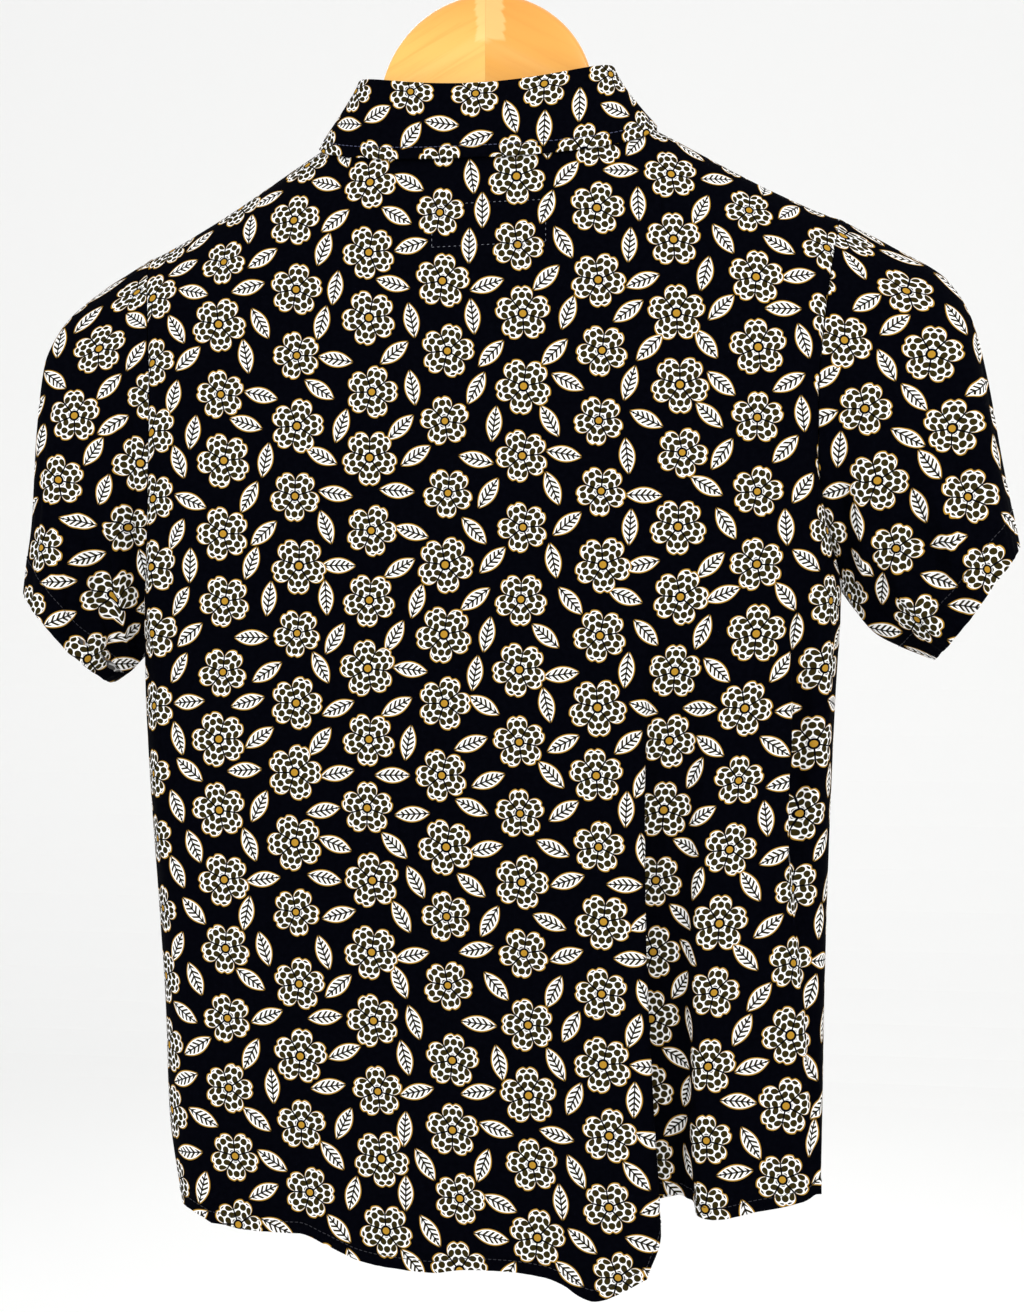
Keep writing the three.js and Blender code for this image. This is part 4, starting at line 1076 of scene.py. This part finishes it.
def frontPanel(side, shift):
    word, table = ("left", leftSide) if side < 0 else ("right", rightSide)
    top, seamHem = abs(float(body[word + "TopX"])), body[word + "SeamHem"]
    half, band = body["neckHalf"], body["edgeBand"]
    reach = chain(top - band * np.linspace(0, 1, 15), np.linspace(top - band, half, 32),
                  half * np.sin(np.radians(np.linspace(90, 180, 40))),
                  np.linspace(0, -body["buttonStand"], 7))
    hem = mix(body["frontHem"], seamHem, (np.maximum(0, reach) / top) ** body["frontHemCurve"])
    z = bodyHeights(topZ(side * reach, neckFrontZ), hem, side * reach)
    flare = np.abs(table(z, "x")) / top
    x = side * reach[:, None] * np.where(reach[:, None] < 0, 1, flare)
    p = frontSurface(x, z, 0 if side < 0 else body["lap"])
    uv = bodyCut(p, len(reach) - 7, cloth["rowsAbove"])
    toHem = z - hem[:, None]
    # quiet at the side seam and the shoulder, and where the fronts lap
    sideRun = top - reach[:, None]
    quiet = (smooth(sideRun / band / 0.6) * smooth((shoulderZ(x) - z) / cloth["shoulderQuiet"])
             * smooth((np.abs(x) - 20) / 25))
    relief = ((creases(x, z, frontCreases) + softWaves(x + 40, z)) * quiet + hemBand(toHem)
              + armholePuckers(z, sideRun, 9, 0.7) * smooth(sideRun / band / cloth["endQuiet"]))
    if side < 0:
        p, uv, relief = p[::-1], uv[::-1], relief[::-1]
    n = gridNormals(p)
    p = p + n * relief[..., None]
    hemLine = seamLine(p, n, cloth["hemRows"], cloth["stitchRow"])
    edges = ("top", "last" if side < 0 else "first")
    material = printedCloth("shirtClothFront" + word.capitalize(), shift)
    return hemmedPanel("front" + word.capitalize(), p, uv, edges, material, "front_" + word), hemLine


backObj, backHemLine = backPanel()
frontLeftObj, leftHemLine = frontPanel(-1, (21.0, 33.0))
frontRightObj, rightHemLine = frontPanel(1, (7.0, 12.0))
bodyHemStitches = stitchRun("bodyHemStitches", [backHemLine, leftHemLine, rightHemLine], "dark")
print("shirt: back and fronts made")


# Sleeves

sleeveCreases = {
    # start and end, each an angle in degrees from the upper line over the back and a share of the
    # length, then width, height and bow in mm
    -1: [(40, 0.1, 58, 0.95, 8, -2.2, 0), (75, 0.05, 95, 0.9, 9, 2.2, 0),
         (112, 0.1, 118, 0.95, 7, -3.0, 3), (138, 0.15, 134, 1.0, 6, 2.4, 0),
         (22, 0.3, 30, 0.9, 7, 1.4, 0), (92, 0.55, 124, 1.0, 5, -2.2, 0),
         (150, 0.3, 156, 1.0, 5, -1.8, 0), (62, 0.5, 84, 1.0, 5, -1.6, 2),
         (84, 0.09, 146, 0.16, 8, -6.0, 3), (92, 0.2, 152, 0.32, 8, 5.0, 3),
         (66, 0.05, 110, 0.06, 7, 3.0, 0), (108, 0.38, 146, 0.52, 9, -4.0, 3),
         (225, 0.1, 235, 0.9, 9, -2.0, 0), (262, 0.05, 255, 0.95, 10, 1.8, 0),
         (300, 0.1, 310, 0.9, 9, -1.6, 0), (335, 0.2, 330, 0.9, 8, 1.2, 0)],
    1: [(35, 0.15, 48, 0.95, 8, 2.0, 0), (60, 0.1, 78, 1.0, 6, -3.8, 0),
        (84, 0.3, 98, 1.0, 5.5, 4.4, 2), (104, 0.4, 116, 1.0, 5, -4.6, 0),
        (126, 0.3, 138, 1.0, 5.5, 4.2, 0), (150, 0.3, 158, 1.0, 5, -3.0, 0),
        (66, 0.6, 112, 0.94, 4.5, -3.0, 3), (52, 0.7, 60, 1.0, 5, 1.8, 0),
        (86, 0.72, 132, 0.86, 4.5, 2.6, -3), (96, 0.08, 142, 0.15, 8, -4.6, 2),
        (90, 0.2, 146, 0.28, 8, 3.6, 3), (18, 0.4, 26, 0.95, 6, -1.1, 0),
        (230, 0.1, 238, 0.9, 9, 1.9, 0), (268, 0.1, 262, 0.95, 10, -1.8, 0),
        (305, 0.1, 312, 0.9, 9, 1.6, 0), (338, 0.2, 334, 0.9, 8, -1.1, 0)],
    "degree": 0.95, "length": 200.0, "band": 20.0,
    "hemRows": (27.0, 23.0, 21.2, 20.4, 20.0, 19.6, 18.6, 15.5, 11.0, 6.0, 2.5, 0.8, 0.0), "stitchRow": 4,
    "ring": 192, "rows": 66, "meeting": 0.22, "crowding": 1.3, "sag": 0.9, "hemInner": 12.0,
    "axis": (0.22, 0.976), "evening": 0.18,
}


def sleeveCut(p, side, column, facing):
    # down: run along the sleeve's axis; across: run at right angles to it, from one column, which
    # lies as it is seen from the back (facing 1) or the front (facing -1)
    sin, cos = sleeveCreases["axis"]
    axis, over = np.array([side * sin, 0, -cos]), np.array([-side * cos, 0, -sin])
    loop = np.concatenate([p, p[:1]])
    step = np.diff(loop, axis=0)
    down = step @ axis
    across = np.sqrt(np.maximum(np.sum(step**2, -1) - down**2, 0))
    u = np.cumsum(np.concatenate([down[:1] * 0, across]), axis=0)
    return np.stack([u - u[column] + facing * (p[column] @ over), loop @ axis], -1)


def sleevePiece(side, shift):
    v = sleeveCreases
    ring = v["ring"]
    # from the underarm round the front; closer together at the upper line and underarm
    t = np.arange(ring) * 2 * np.pi / ring - np.pi
    angle = t - v["evening"] * np.sin(2 * t)
    probe = sleeveSurface(side, angle[:, None], np.linspace(0, 1, 40)[None])
    length = np.linalg.norm(np.diff(probe, axis=1), axis=-1).sum(1)
    band = 1 - np.array(v["hemRows"])[None] / length[:, None]
    upper = np.linspace(0, 1, v["rows"] + 1)[:-1] ** v["crowding"]
    s = np.concatenate([upper[None] * band[:, :1], band], 1)
    p = sleeveSurface(side, angle[:, None], s)
    toHem = (1 - s) * length[:, None]
    rows = [(a0 * v["degree"], s0 * v["length"], a1 * v["degree"], s1 * v["length"], w, h, bow)
            for a0, s0, a1, s1, w, h, bow in v[side]]
    degrees = np.degrees(angle)[:, None]
    relief = creases(degrees % 360 * v["degree"], s * v["length"], rows)
    fromSeam = s * length[:, None]
    waves = softWaves(p[..., 0] + 11, p[..., 2] + p[..., 1]) * smooth(fromSeam / 30)
    near = np.exp(-fromSeam / cloth["puckerRun"]) * smooth(fromSeam / 1.5)
    puckers = cloth["pucker"] * ripple(degrees * 1.6, 0.9) * near
    relief = (relief * smooth(fromSeam / 11) + waves + puckers
              + 0.25 * ripple(degrees * v["degree"] + 5, 1.7) * np.exp(-(toHem / 24) ** 2)
              + cloth["bandLift"] * smooth((v["band"] + 0.8 - toHem) / 0.8)
              - cloth["groove"] * bump(toHem - v["band"], 0.8))
    # the front's cut meets the back's along the upper line, and what they differ there is shared
    # out over both, less and less away from that line
    front, back = sleeveCut(p, side, ring // 4, -1), sleeveCut(p, side, ring * 3 // 4, 1)
    apart = back[ring // 2, :, 0] - front[ring // 2, :, 0]
    near = smooth(1 - np.abs(np.arange(ring + 1)[:, None] / ring - 0.5) / v["meeting"]) / 2
    front[..., 0] += apart.mean() + near * (apart - apart.mean())
    back[..., 0] -= near * (apart - apart.mean())
    cuts = [front, back]
    # ridges on the back droop over the cloth below them, away from the hem and the seam
    sagging = smooth(np.sin(angle)[:, None] * 2) * smooth((toHem - v["band"]) / 15) * smooth(fromSeam / 20)
    if side > 0:
        p, relief, sagging = (np.roll(a[::-1], 1, axis=0) for a in (p, relief, sagging))
        cuts = [back[::-1], front[::-1]]
    n = gridNormals(p, True)
    p = p + n * relief[..., None]
    p[..., 2] -= v["sag"] * np.maximum(relief - 1, 0) * sagging
    hemLine = [np.concatenate([a, a[:1]]) for a in seamLine(p, n, v["hemRows"], v["stitchRow"])]
    p = turnUp(p, cloth["hemDepth"], v["hemInner"], True)
    p = turnIn(p, "top", cloth["turnIn"], True)
    cuts = [cutPast(c, "bottom", hemRun(cloth["hemDepth"], v["hemInner"])) for c in cuts]
    cuts = [cutPast(c, "top", cloth["turnIn"]) for c in cuts]
    word = "Left" if side < 0 else "Right"
    obj = gridMesh("sleeve" + word, p, cuts, True)
    wall(obj, cloth["wall"], printedCloth("shirtClothSleeve" + word, shift), clothInside)
    return finish(obj, ("sleeve_" + word.lower(),)), hemLine


sleeveLeftObj, sleeveLeftLine = sleevePiece(-1, (15.0, 27.0))
sleeveRightObj, sleeveRightLine = sleevePiece(1, (31.0, 5.0))
sleeveStitches = [stitchRun("sleeveStitchesLeft", [sleeveLeftLine], "dark"),
                  stitchRun("sleeveStitchesRight", [sleeveRightLine], "dark")]
print("shirt: sleeves made")


# Collar

collarMake = {
    "wall": 1.1, "frontGap": 1.5, "standGap": 0.6, "stitchIn": 7.5, "groove": 0.16,
    "edgeRows": (11.0, 9.0, 8.0, 7.5, 7.0, 6.0, 4.0, 2.0, 0.7, 0.0), "stitchRow": 3,
}


def collarAngles(gap):
    half = chain(np.linspace(0, 75, 60), np.linspace(75, 105, 36), np.linspace(105, 180 - gap, 56))
    return np.radians(np.concatenate([-half[::-1], half[1:]]))


def collarCut(p):
    # across: run of each row from its middle column; down: run of each column from its top
    u = np.cumsum(np.linalg.norm(np.diff(p, axis=0, prepend=p[:1]), axis=-1), axis=0)
    v = np.cumsum(np.linalg.norm(np.diff(p, axis=1, prepend=p[:, :1]), axis=-1), axis=1)
    return np.stack([u - u[len(p) // 2], v], -1)


def collarFall():
    v = collarMake
    angle = collarAngles(v["frontGap"])
    share = collar["rollShare"]
    probe = leafSurface(angle[:, None], np.linspace(share, 1, 60)[None])
    length = np.linalg.norm(np.diff(probe, axis=1), axis=-1).sum(1)
    band = 1 - np.array(v["edgeRows"])[None] / length[:, None] * (1 - share)
    roll = np.broadcast_to(np.linspace(0, share, 13), (len(angle), 13))
    middle = mix(share, band[:, :1], np.linspace(0, 1, 22)[1:-1][None])
    rows = np.concatenate([roll, middle, band], 1)
    p = leafSurface(angle[:, None], rows)
    n = gridNormals(p)
    toEdge = (1 - rows) / (1 - share) * length[:, None]
    degrees = np.degrees(angle)[:, None]
    relief = (0.25 * ripple(degrees * 2.1, 1.1) * np.exp(-(toEdge / 12) ** 2)
              - v["groove"] * bump(toEdge - v["stitchIn"], 0.8)
              + 0.5 * np.sin(degrees / 19 + 0.6) * smooth((rows - share) * 3) * smooth(toEdge / 14))
    p = p + n * np.maximum(relief, -0.3)[..., None]
    line = seamLine(p, n, v["edgeRows"], v["stitchRow"])
    obj = gridMesh("collarFall", p, [collarCut(p)])
    wall(obj, v["wall"], printedCloth("shirtClothCollar", (11.0, 23.0), turned=True), clothInside)
    return finish(obj, ("collar_fall",)), line


def collarStand():
    v = collarMake
    angle = collarAngles(v["standGap"])
    gap = collar["seamGap"]
    low = neckSurface(angle)
    low[:, 2] += gap
    high = foldLine(angle)
    high[:, 2] -= gap
    out = foldOutward(angle)
    t = np.linspace(0, 1, 12)
    p = high[:, None] + (low - high)[:, None] * t[None, :, None] + out[:, None] * (collar["wall"] / 2)
    p = p + out[:, None] * (0.1 * np.sin(np.pi * t))[None, :, None]
    obj = gridMesh("collarStand", p, [collarCut(p)])
    wall(obj, v["wall"], printedCloth("shirtClothStand", (3.0, 19.0), turned=True), clothInside)
    return finish(obj, ("collar_stand",))


fallObj, fallLine = collarFall()
standObj = collarStand()
collarStitches = stitchRun("collarStitches", [fallLine], "blue")

labelSeam = {"left": -29.4, "right": 40.5, "top": -210, "bottom": -236, "tilt": 1}


def labelStitches(v):
    # a rectangle sewn through from the inside of the neck
    corners = [(v["left"], v["top"]), (v["right"], v["top"] + v["tilt"]),
               (v["right"], v["bottom"] + v["tilt"]), (v["left"], v["bottom"]), (v["left"], v["top"])]
    lines = []
    for (xa, za), (xb, zb) in zip(corners[:-1], corners[1:]):
        t = np.linspace(0, 1, 20)
        p = backAt(mix(xa, xb, t), mix(za, zb, t))
        lines.append((p, np.broadcast_to([0.0, -1.0, 0.0], p.shape)))
    return stitchRun("labelStitches", lines, "grey", kind="label")


labelObj = labelStitches(labelSeam)
print("shirt: collar made")


# Round bodies


def ringBody(name, rings):
    # quads between rings of equal count, closed by a face at each end, turned to point out
    nr, ns = rings.shape[:2]
    r, k = np.meshgrid(np.arange(nr - 1), np.arange(ns), indexing="ij")
    n = (k + 1) % ns
    quads = np.stack([r * ns + k, r * ns + n, (r + 1) * ns + n, (r + 1) * ns + k], -1).reshape(-1, 4)
    ends = [np.arange(ns)[::-1], np.arange((nr - 1) * ns, nr * ns)]
    a, b, c = (rings.reshape(-1, 3)[quads[:, m]] for m in range(3))
    if np.sum(a * np.cross(b, c)) < 0:
        quads, ends = quads[:, ::-1], [e[::-1] for e in ends]
    return makeMesh(name, rings, quads.tolist() + [e.tolist() for e in ends])


def carve(obj, cutter):
    # takes the cutter out of the body and keeps the result as its mesh
    hole = obj.modifiers.new("hole", "BOOLEAN")
    hole.operation = "DIFFERENCE"
    hole.solver = "EXACT"
    hole.object = cutter
    evaluated = obj.evaluated_get(bpy.context.evaluated_depsgraph_get())
    carved = bpy.data.meshes.new_from_object(evaluated)
    obj.modifiers.clear()
    obj.data = carved
    bpy.data.objects.remove(cutter)


def rod(name, start, end, radius, sides=20):
    # a straight round bar between two points, as two rings
    start, end = np.array(start, float), np.array(end, float)
    along = (end - start) / np.linalg.norm(end - start)
    side = np.cross(along, [1, 0, 0] if abs(along[0]) < 0.9 else [0, 1, 0])
    side = side / np.linalg.norm(side)
    other = np.cross(along, side)
    turn = np.arange(sides) * 2 * np.pi / sides
    ring = radius * (np.cos(turn)[:, None] * side + np.sin(turn)[:, None] * other)
    return ringBody(name, np.stack([start + ring, end + ring]))


# Buttons

button = {
    "count": 6, "firstZ": -245, "pitch": 93, "seat": 0.3, "around": 48,
    "holeRadius": 0.8, "holeOffset": 1.6, "holeFrom": -2, "holeTo": 5, "holeSides": 16,
    "threadHeight": 1.85, "strands": (-0.35, 0.0, 0.35),
    "slitHalf": 8.4, "slitPitch": 0.7, "slitRows": (-1.7, 0.3), "slitRun": 2.7,
    # half of the section: distance from the middle and height above the cloth
    "section": [(0.01, 0), (4.2, 0), (5.2, 0.25), (5.62, 0.8), (5.7, 1.3), (5.6, 1.85), (5.25, 2.28),
                (4.8, 2.4), (4.35, 2.3), (3.9, 1.95), (3.4, 1.78), (0.01, 1.78)],
}


def makeButton(k, v):
    z = v["firstZ"] - k * v["pitch"]
    y = float(frontSurface(0.0, float(z), 0)[1]) + v["seat"]
    turn = np.arange(v["around"]) * 2 * np.pi / v["around"]
    rings = np.stack([np.stack([r * np.cos(turn), np.full(len(turn), y + h), z + r * np.sin(turn)], 1)
                      for r, h in v["section"]])
    obj = ringBody("button" + str(k + 1), rings)
    for sx, sz in ((-1, -1), (1, -1), (-1, 1), (1, 1)):
        x, hz = sx * v["holeOffset"], z + sz * v["holeOffset"]
        carve(obj, rod("holeCutter", (x, y + v["holeFrom"], hz), (x, y + v["holeTo"], hz),
                       v["holeRadius"], v["holeSides"]))
    obj.data.materials.clear()
    obj.data.materials.append(shell)
    finish(obj, ("button_" + str(k + 1),))
    ends = []
    for sz in (-1, 1):
        for off in v["strands"]:
            level = z + sz * v["holeOffset"] + off
            line = np.array([[end * v["holeOffset"], y + v["threadHeight"], level] for end in (-1, 1)])
            ends.append((line, np.broadcast_to([0.0, 1.0, 0.0], line.shape)))
    return ends


shell = buttonMaterial()
sewing = [line for k in range(button["count"]) for line in makeButton(k, button)]
buttonThread = stitchRun("buttonThread", sewing, "dark", "button")


def buttonholeStitches(v):
    # two close rows of short stitches, one on each side of every slit
    lines = []
    for k in range(v["count"]):
        z = v["firstZ"] - k * v["pitch"]
        for x in np.arange(-v["slitHalf"], v["slitHalf"] + 0.1, v["slitPitch"]):
            for low in v["slitRows"]:
                p = frontSurface(np.array([x, x]), z + low + np.array([0, v["slitRun"]]), 0)
                p[:, 1] += stitches["proud"]
                lines.append((p, np.broadcast_to([0.0, 1.0, 0.0], p.shape)))
    return stitchRun("buttonholeStitches", lines, "dark", kind="buttonhole")


buttonholes = buttonholeStitches(button)
print("shirt: buttons made")


# Hanger

board = {
    "domeRadius": 68, "domeZ": -137, "armEnd": 212, "half": 7, "tipHalf": 5.5, "clearance": 0.7,
    "clothWall": 1.2, "footX": 84, "footSlope": 0.28, "keelZ": -176, "tipDrop": 25, "keelPower": 1.25,
    "jointGap": 0.03, "tipRun": 6, "tipRise": 6, "tipSink": 4, "tipLeast": 0.1, "sharp": 40,
}

hookShape = {
    "wire": 1.9, "inside": 17, "shankEnd": -88, "straightTo": -60, "from": -62, "to": 205,
    "bore": 0.35, "boreReach": 39, "pull": 24, "around": 24,
}


def armTopZ(x):
    return shoulderZ(x) - board["clothWall"] - board["clearance"]


def boardTopZ(x):
    reach = np.abs(x) / board["domeRadius"]
    dome = board["domeZ"] + board["domeRadius"] * np.sqrt(np.maximum(0, 1 - reach**2))
    dome = np.where(reach < 1, dome, -1e9)
    foot = armTopZ(board["footX"] * np.sign(x)) + (board["footX"] - np.abs(x)) * board["footSlope"]
    return np.maximum(dome, np.where(np.abs(x) < board["footX"], foot, armTopZ(x)))


def hangerHalf(side, name, node, material):
    # upright sections along the arm: a half-round crown and keel joined by flat faces
    dome = board["domeRadius"] * np.sin(np.radians(np.linspace(0, 84, 44)))
    run, least = board["tipRun"], board["tipLeast"]
    arm = np.linspace(board["domeRadius"] + 0.6, board["armEnd"] - run, 60)
    tip = board["armEnd"] - run * (1 - np.sin(np.linspace(0, np.pi / 2, 12)))[1:]
    reach = np.concatenate([dome, arm, tip])
    reach[0] = board["jointGap"]
    x = side * reach
    tipShare = np.clip((board["armEnd"] - reach) / run, 0, 1)
    roundEnd = np.sqrt(1 - (1 - tipShare) ** 2) * (1 - least) + least
    half = mix(board["half"], board["tipHalf"], (reach / board["armEnd"]) ** 2) * roundEnd
    top = boardTopZ(x) - (1 - roundEnd) * board["tipSink"]
    keel = mix(board["keelZ"], armTopZ(board["armEnd"] * side) - board["tipDrop"],
               (reach / board["armEnd"]) ** board["keelPower"])
    low = keel + (1 - roundEnd) * board["tipRise"]
    mid = body["sweep"] * (x / board["armEnd"]) ** 2
    arc = np.linspace(0, np.pi, 13)
    crown = points(x[:, None], mid[:, None] + half[:, None] * np.cos(arc),
                   top[:, None] - half[:, None] * (1 - np.sin(arc)))
    sideDown = np.linspace(0, 1, 6)[1:-1]
    sole = points(x[:, None], mid[:, None] - half[:, None] * np.cos(arc),
                  low[:, None] + half[:, None] * (1 - np.sin(arc)))
    down = crown[:, -1:] + (sole[:, :1] - crown[:, -1:]) * sideDown[None, :, None]
    up = sole[:, -1:] + (crown[:, :1] - sole[:, -1:]) * sideDown[None, :, None]
    obj = ringBody(name, np.concatenate([crown, down, sole, up], 1))
    v = hookShape
    low, high = v["shankEnd"] - 1, v["shankEnd"] + v["boreReach"]
    carve(obj, rod("boreCutter", (0, 0, low), (0, 0, high), v["wire"] + v["bore"], 28))
    obj.data.materials.clear()
    obj.data.materials.append(material)
    obj.data.polygons.foreach_set("use_smooth", np.full(len(obj.data.polygons), True))
    obj.data.set_sharp_from_angle(angle=math.radians(board["sharp"]))
    return finish(obj, (node,))


def hangerHook(v):
    # a straight shank, a cubic bend and a round crook, with a round section carried along it
    radius = v["inside"] + v["wire"]
    turn = np.radians(np.linspace(v["from"], v["to"], 110))
    crook = np.stack([radius * np.cos(turn), -v["inside"] + radius * np.sin(turn)], 1)
    shank = np.stack([np.zeros(10), np.linspace(v["shankEnd"] + 0.6, v["straightTo"], 10)], 1)
    t = np.linspace(0, 1, 26)[1:-1, None]
    a, b = shank[-1], crook[0]
    goA = np.array([0, 1.0]) * v["pull"]
    goB = np.array([-math.sin(turn[0]), math.cos(turn[0])]) * v["pull"]
    bend = (a * (2 * t**3 - 3 * t**2 + 1) + goA * (t**3 - 2 * t**2 + t)
            + b * (3 * t**2 - 2 * t**3) + goB * (t**3 - t**2))
    line = np.concatenate([shank, bend, crook])
    way = np.gradient(line, axis=0)
    way = way / np.linalg.norm(way, axis=1, keepdims=True)
    cap = np.linspace(0, np.pi / 2, 7)
    startWay, endWay = way[0], way[-1]
    before = line[0] - startWay * (v["wire"] * 0.3 * np.cos(cap)[:, None])
    after = line[-1] + endWay * (v["wire"] * np.sin(cap)[:, None])
    girth = np.concatenate([v["wire"] * (0.7 + 0.3 * np.sin(cap[:-1])), np.full(len(line), v["wire"]),
                            v["wire"] * np.cos(cap[1:]) + 0.01])
    line = np.concatenate([before[:-1], line, after[1:]])
    way = np.concatenate([np.repeat(startWay[None], 6, 0), way, np.repeat(endWay[None], 6, 0)])
    side = np.stack([way[:, 1], np.zeros(len(way)), -way[:, 0]], 1)
    middle = np.stack([line[:, 0], np.zeros(len(line)), line[:, 1]], 1)
    spin = np.arange(v["around"]) * 2 * np.pi / v["around"]
    ring = (side[:, None] * np.cos(spin)[None, :, None]
            + np.array([0, 1.0, 0]) * np.sin(spin)[None, :, None])
    obj = ringBody("hangerHook", middle[:, None] + ring * girth[:, None, None])
    obj.data.materials.append(steelMaterial())
    return finish(obj, ("hook",))


# one wood in two tints: the left is painted lit and the right is painted in shade
hangerLeft = hangerHalf(-1, "hangerLeft", "hanger_left", woodMaterial("woodLeftLit", wood["left"], -0.5))
hangerRight = hangerHalf(1, "hangerRight", "hanger_right", woodMaterial("woodRightShaded", wood["right"], 0.5))
hangerHook(hookShape)
print("shirt: hanger made")


# Cut sizes of the cloth, in metres: width, length and area of each piece as it was cut


def declare(obj):
    loops = np.empty(len(obj.data.loops) * 2)
    obj.data.uv_layers[0].data.foreach_get("uv", loops)
    spans = np.ptp(loops.reshape(-1, 2), axis=0)
    total = sum(f.area for f in obj.data.polygons)
    print("shirt: cut of", obj.name, np.round(spans, 3), "area", round(total, 4))


declare(backObj)
declare(frontLeftObj)
declare(frontRightObj)
declare(sleeveLeftObj)
declare(sleeveRightObj)
declare(standObj)
declare(fallObj)
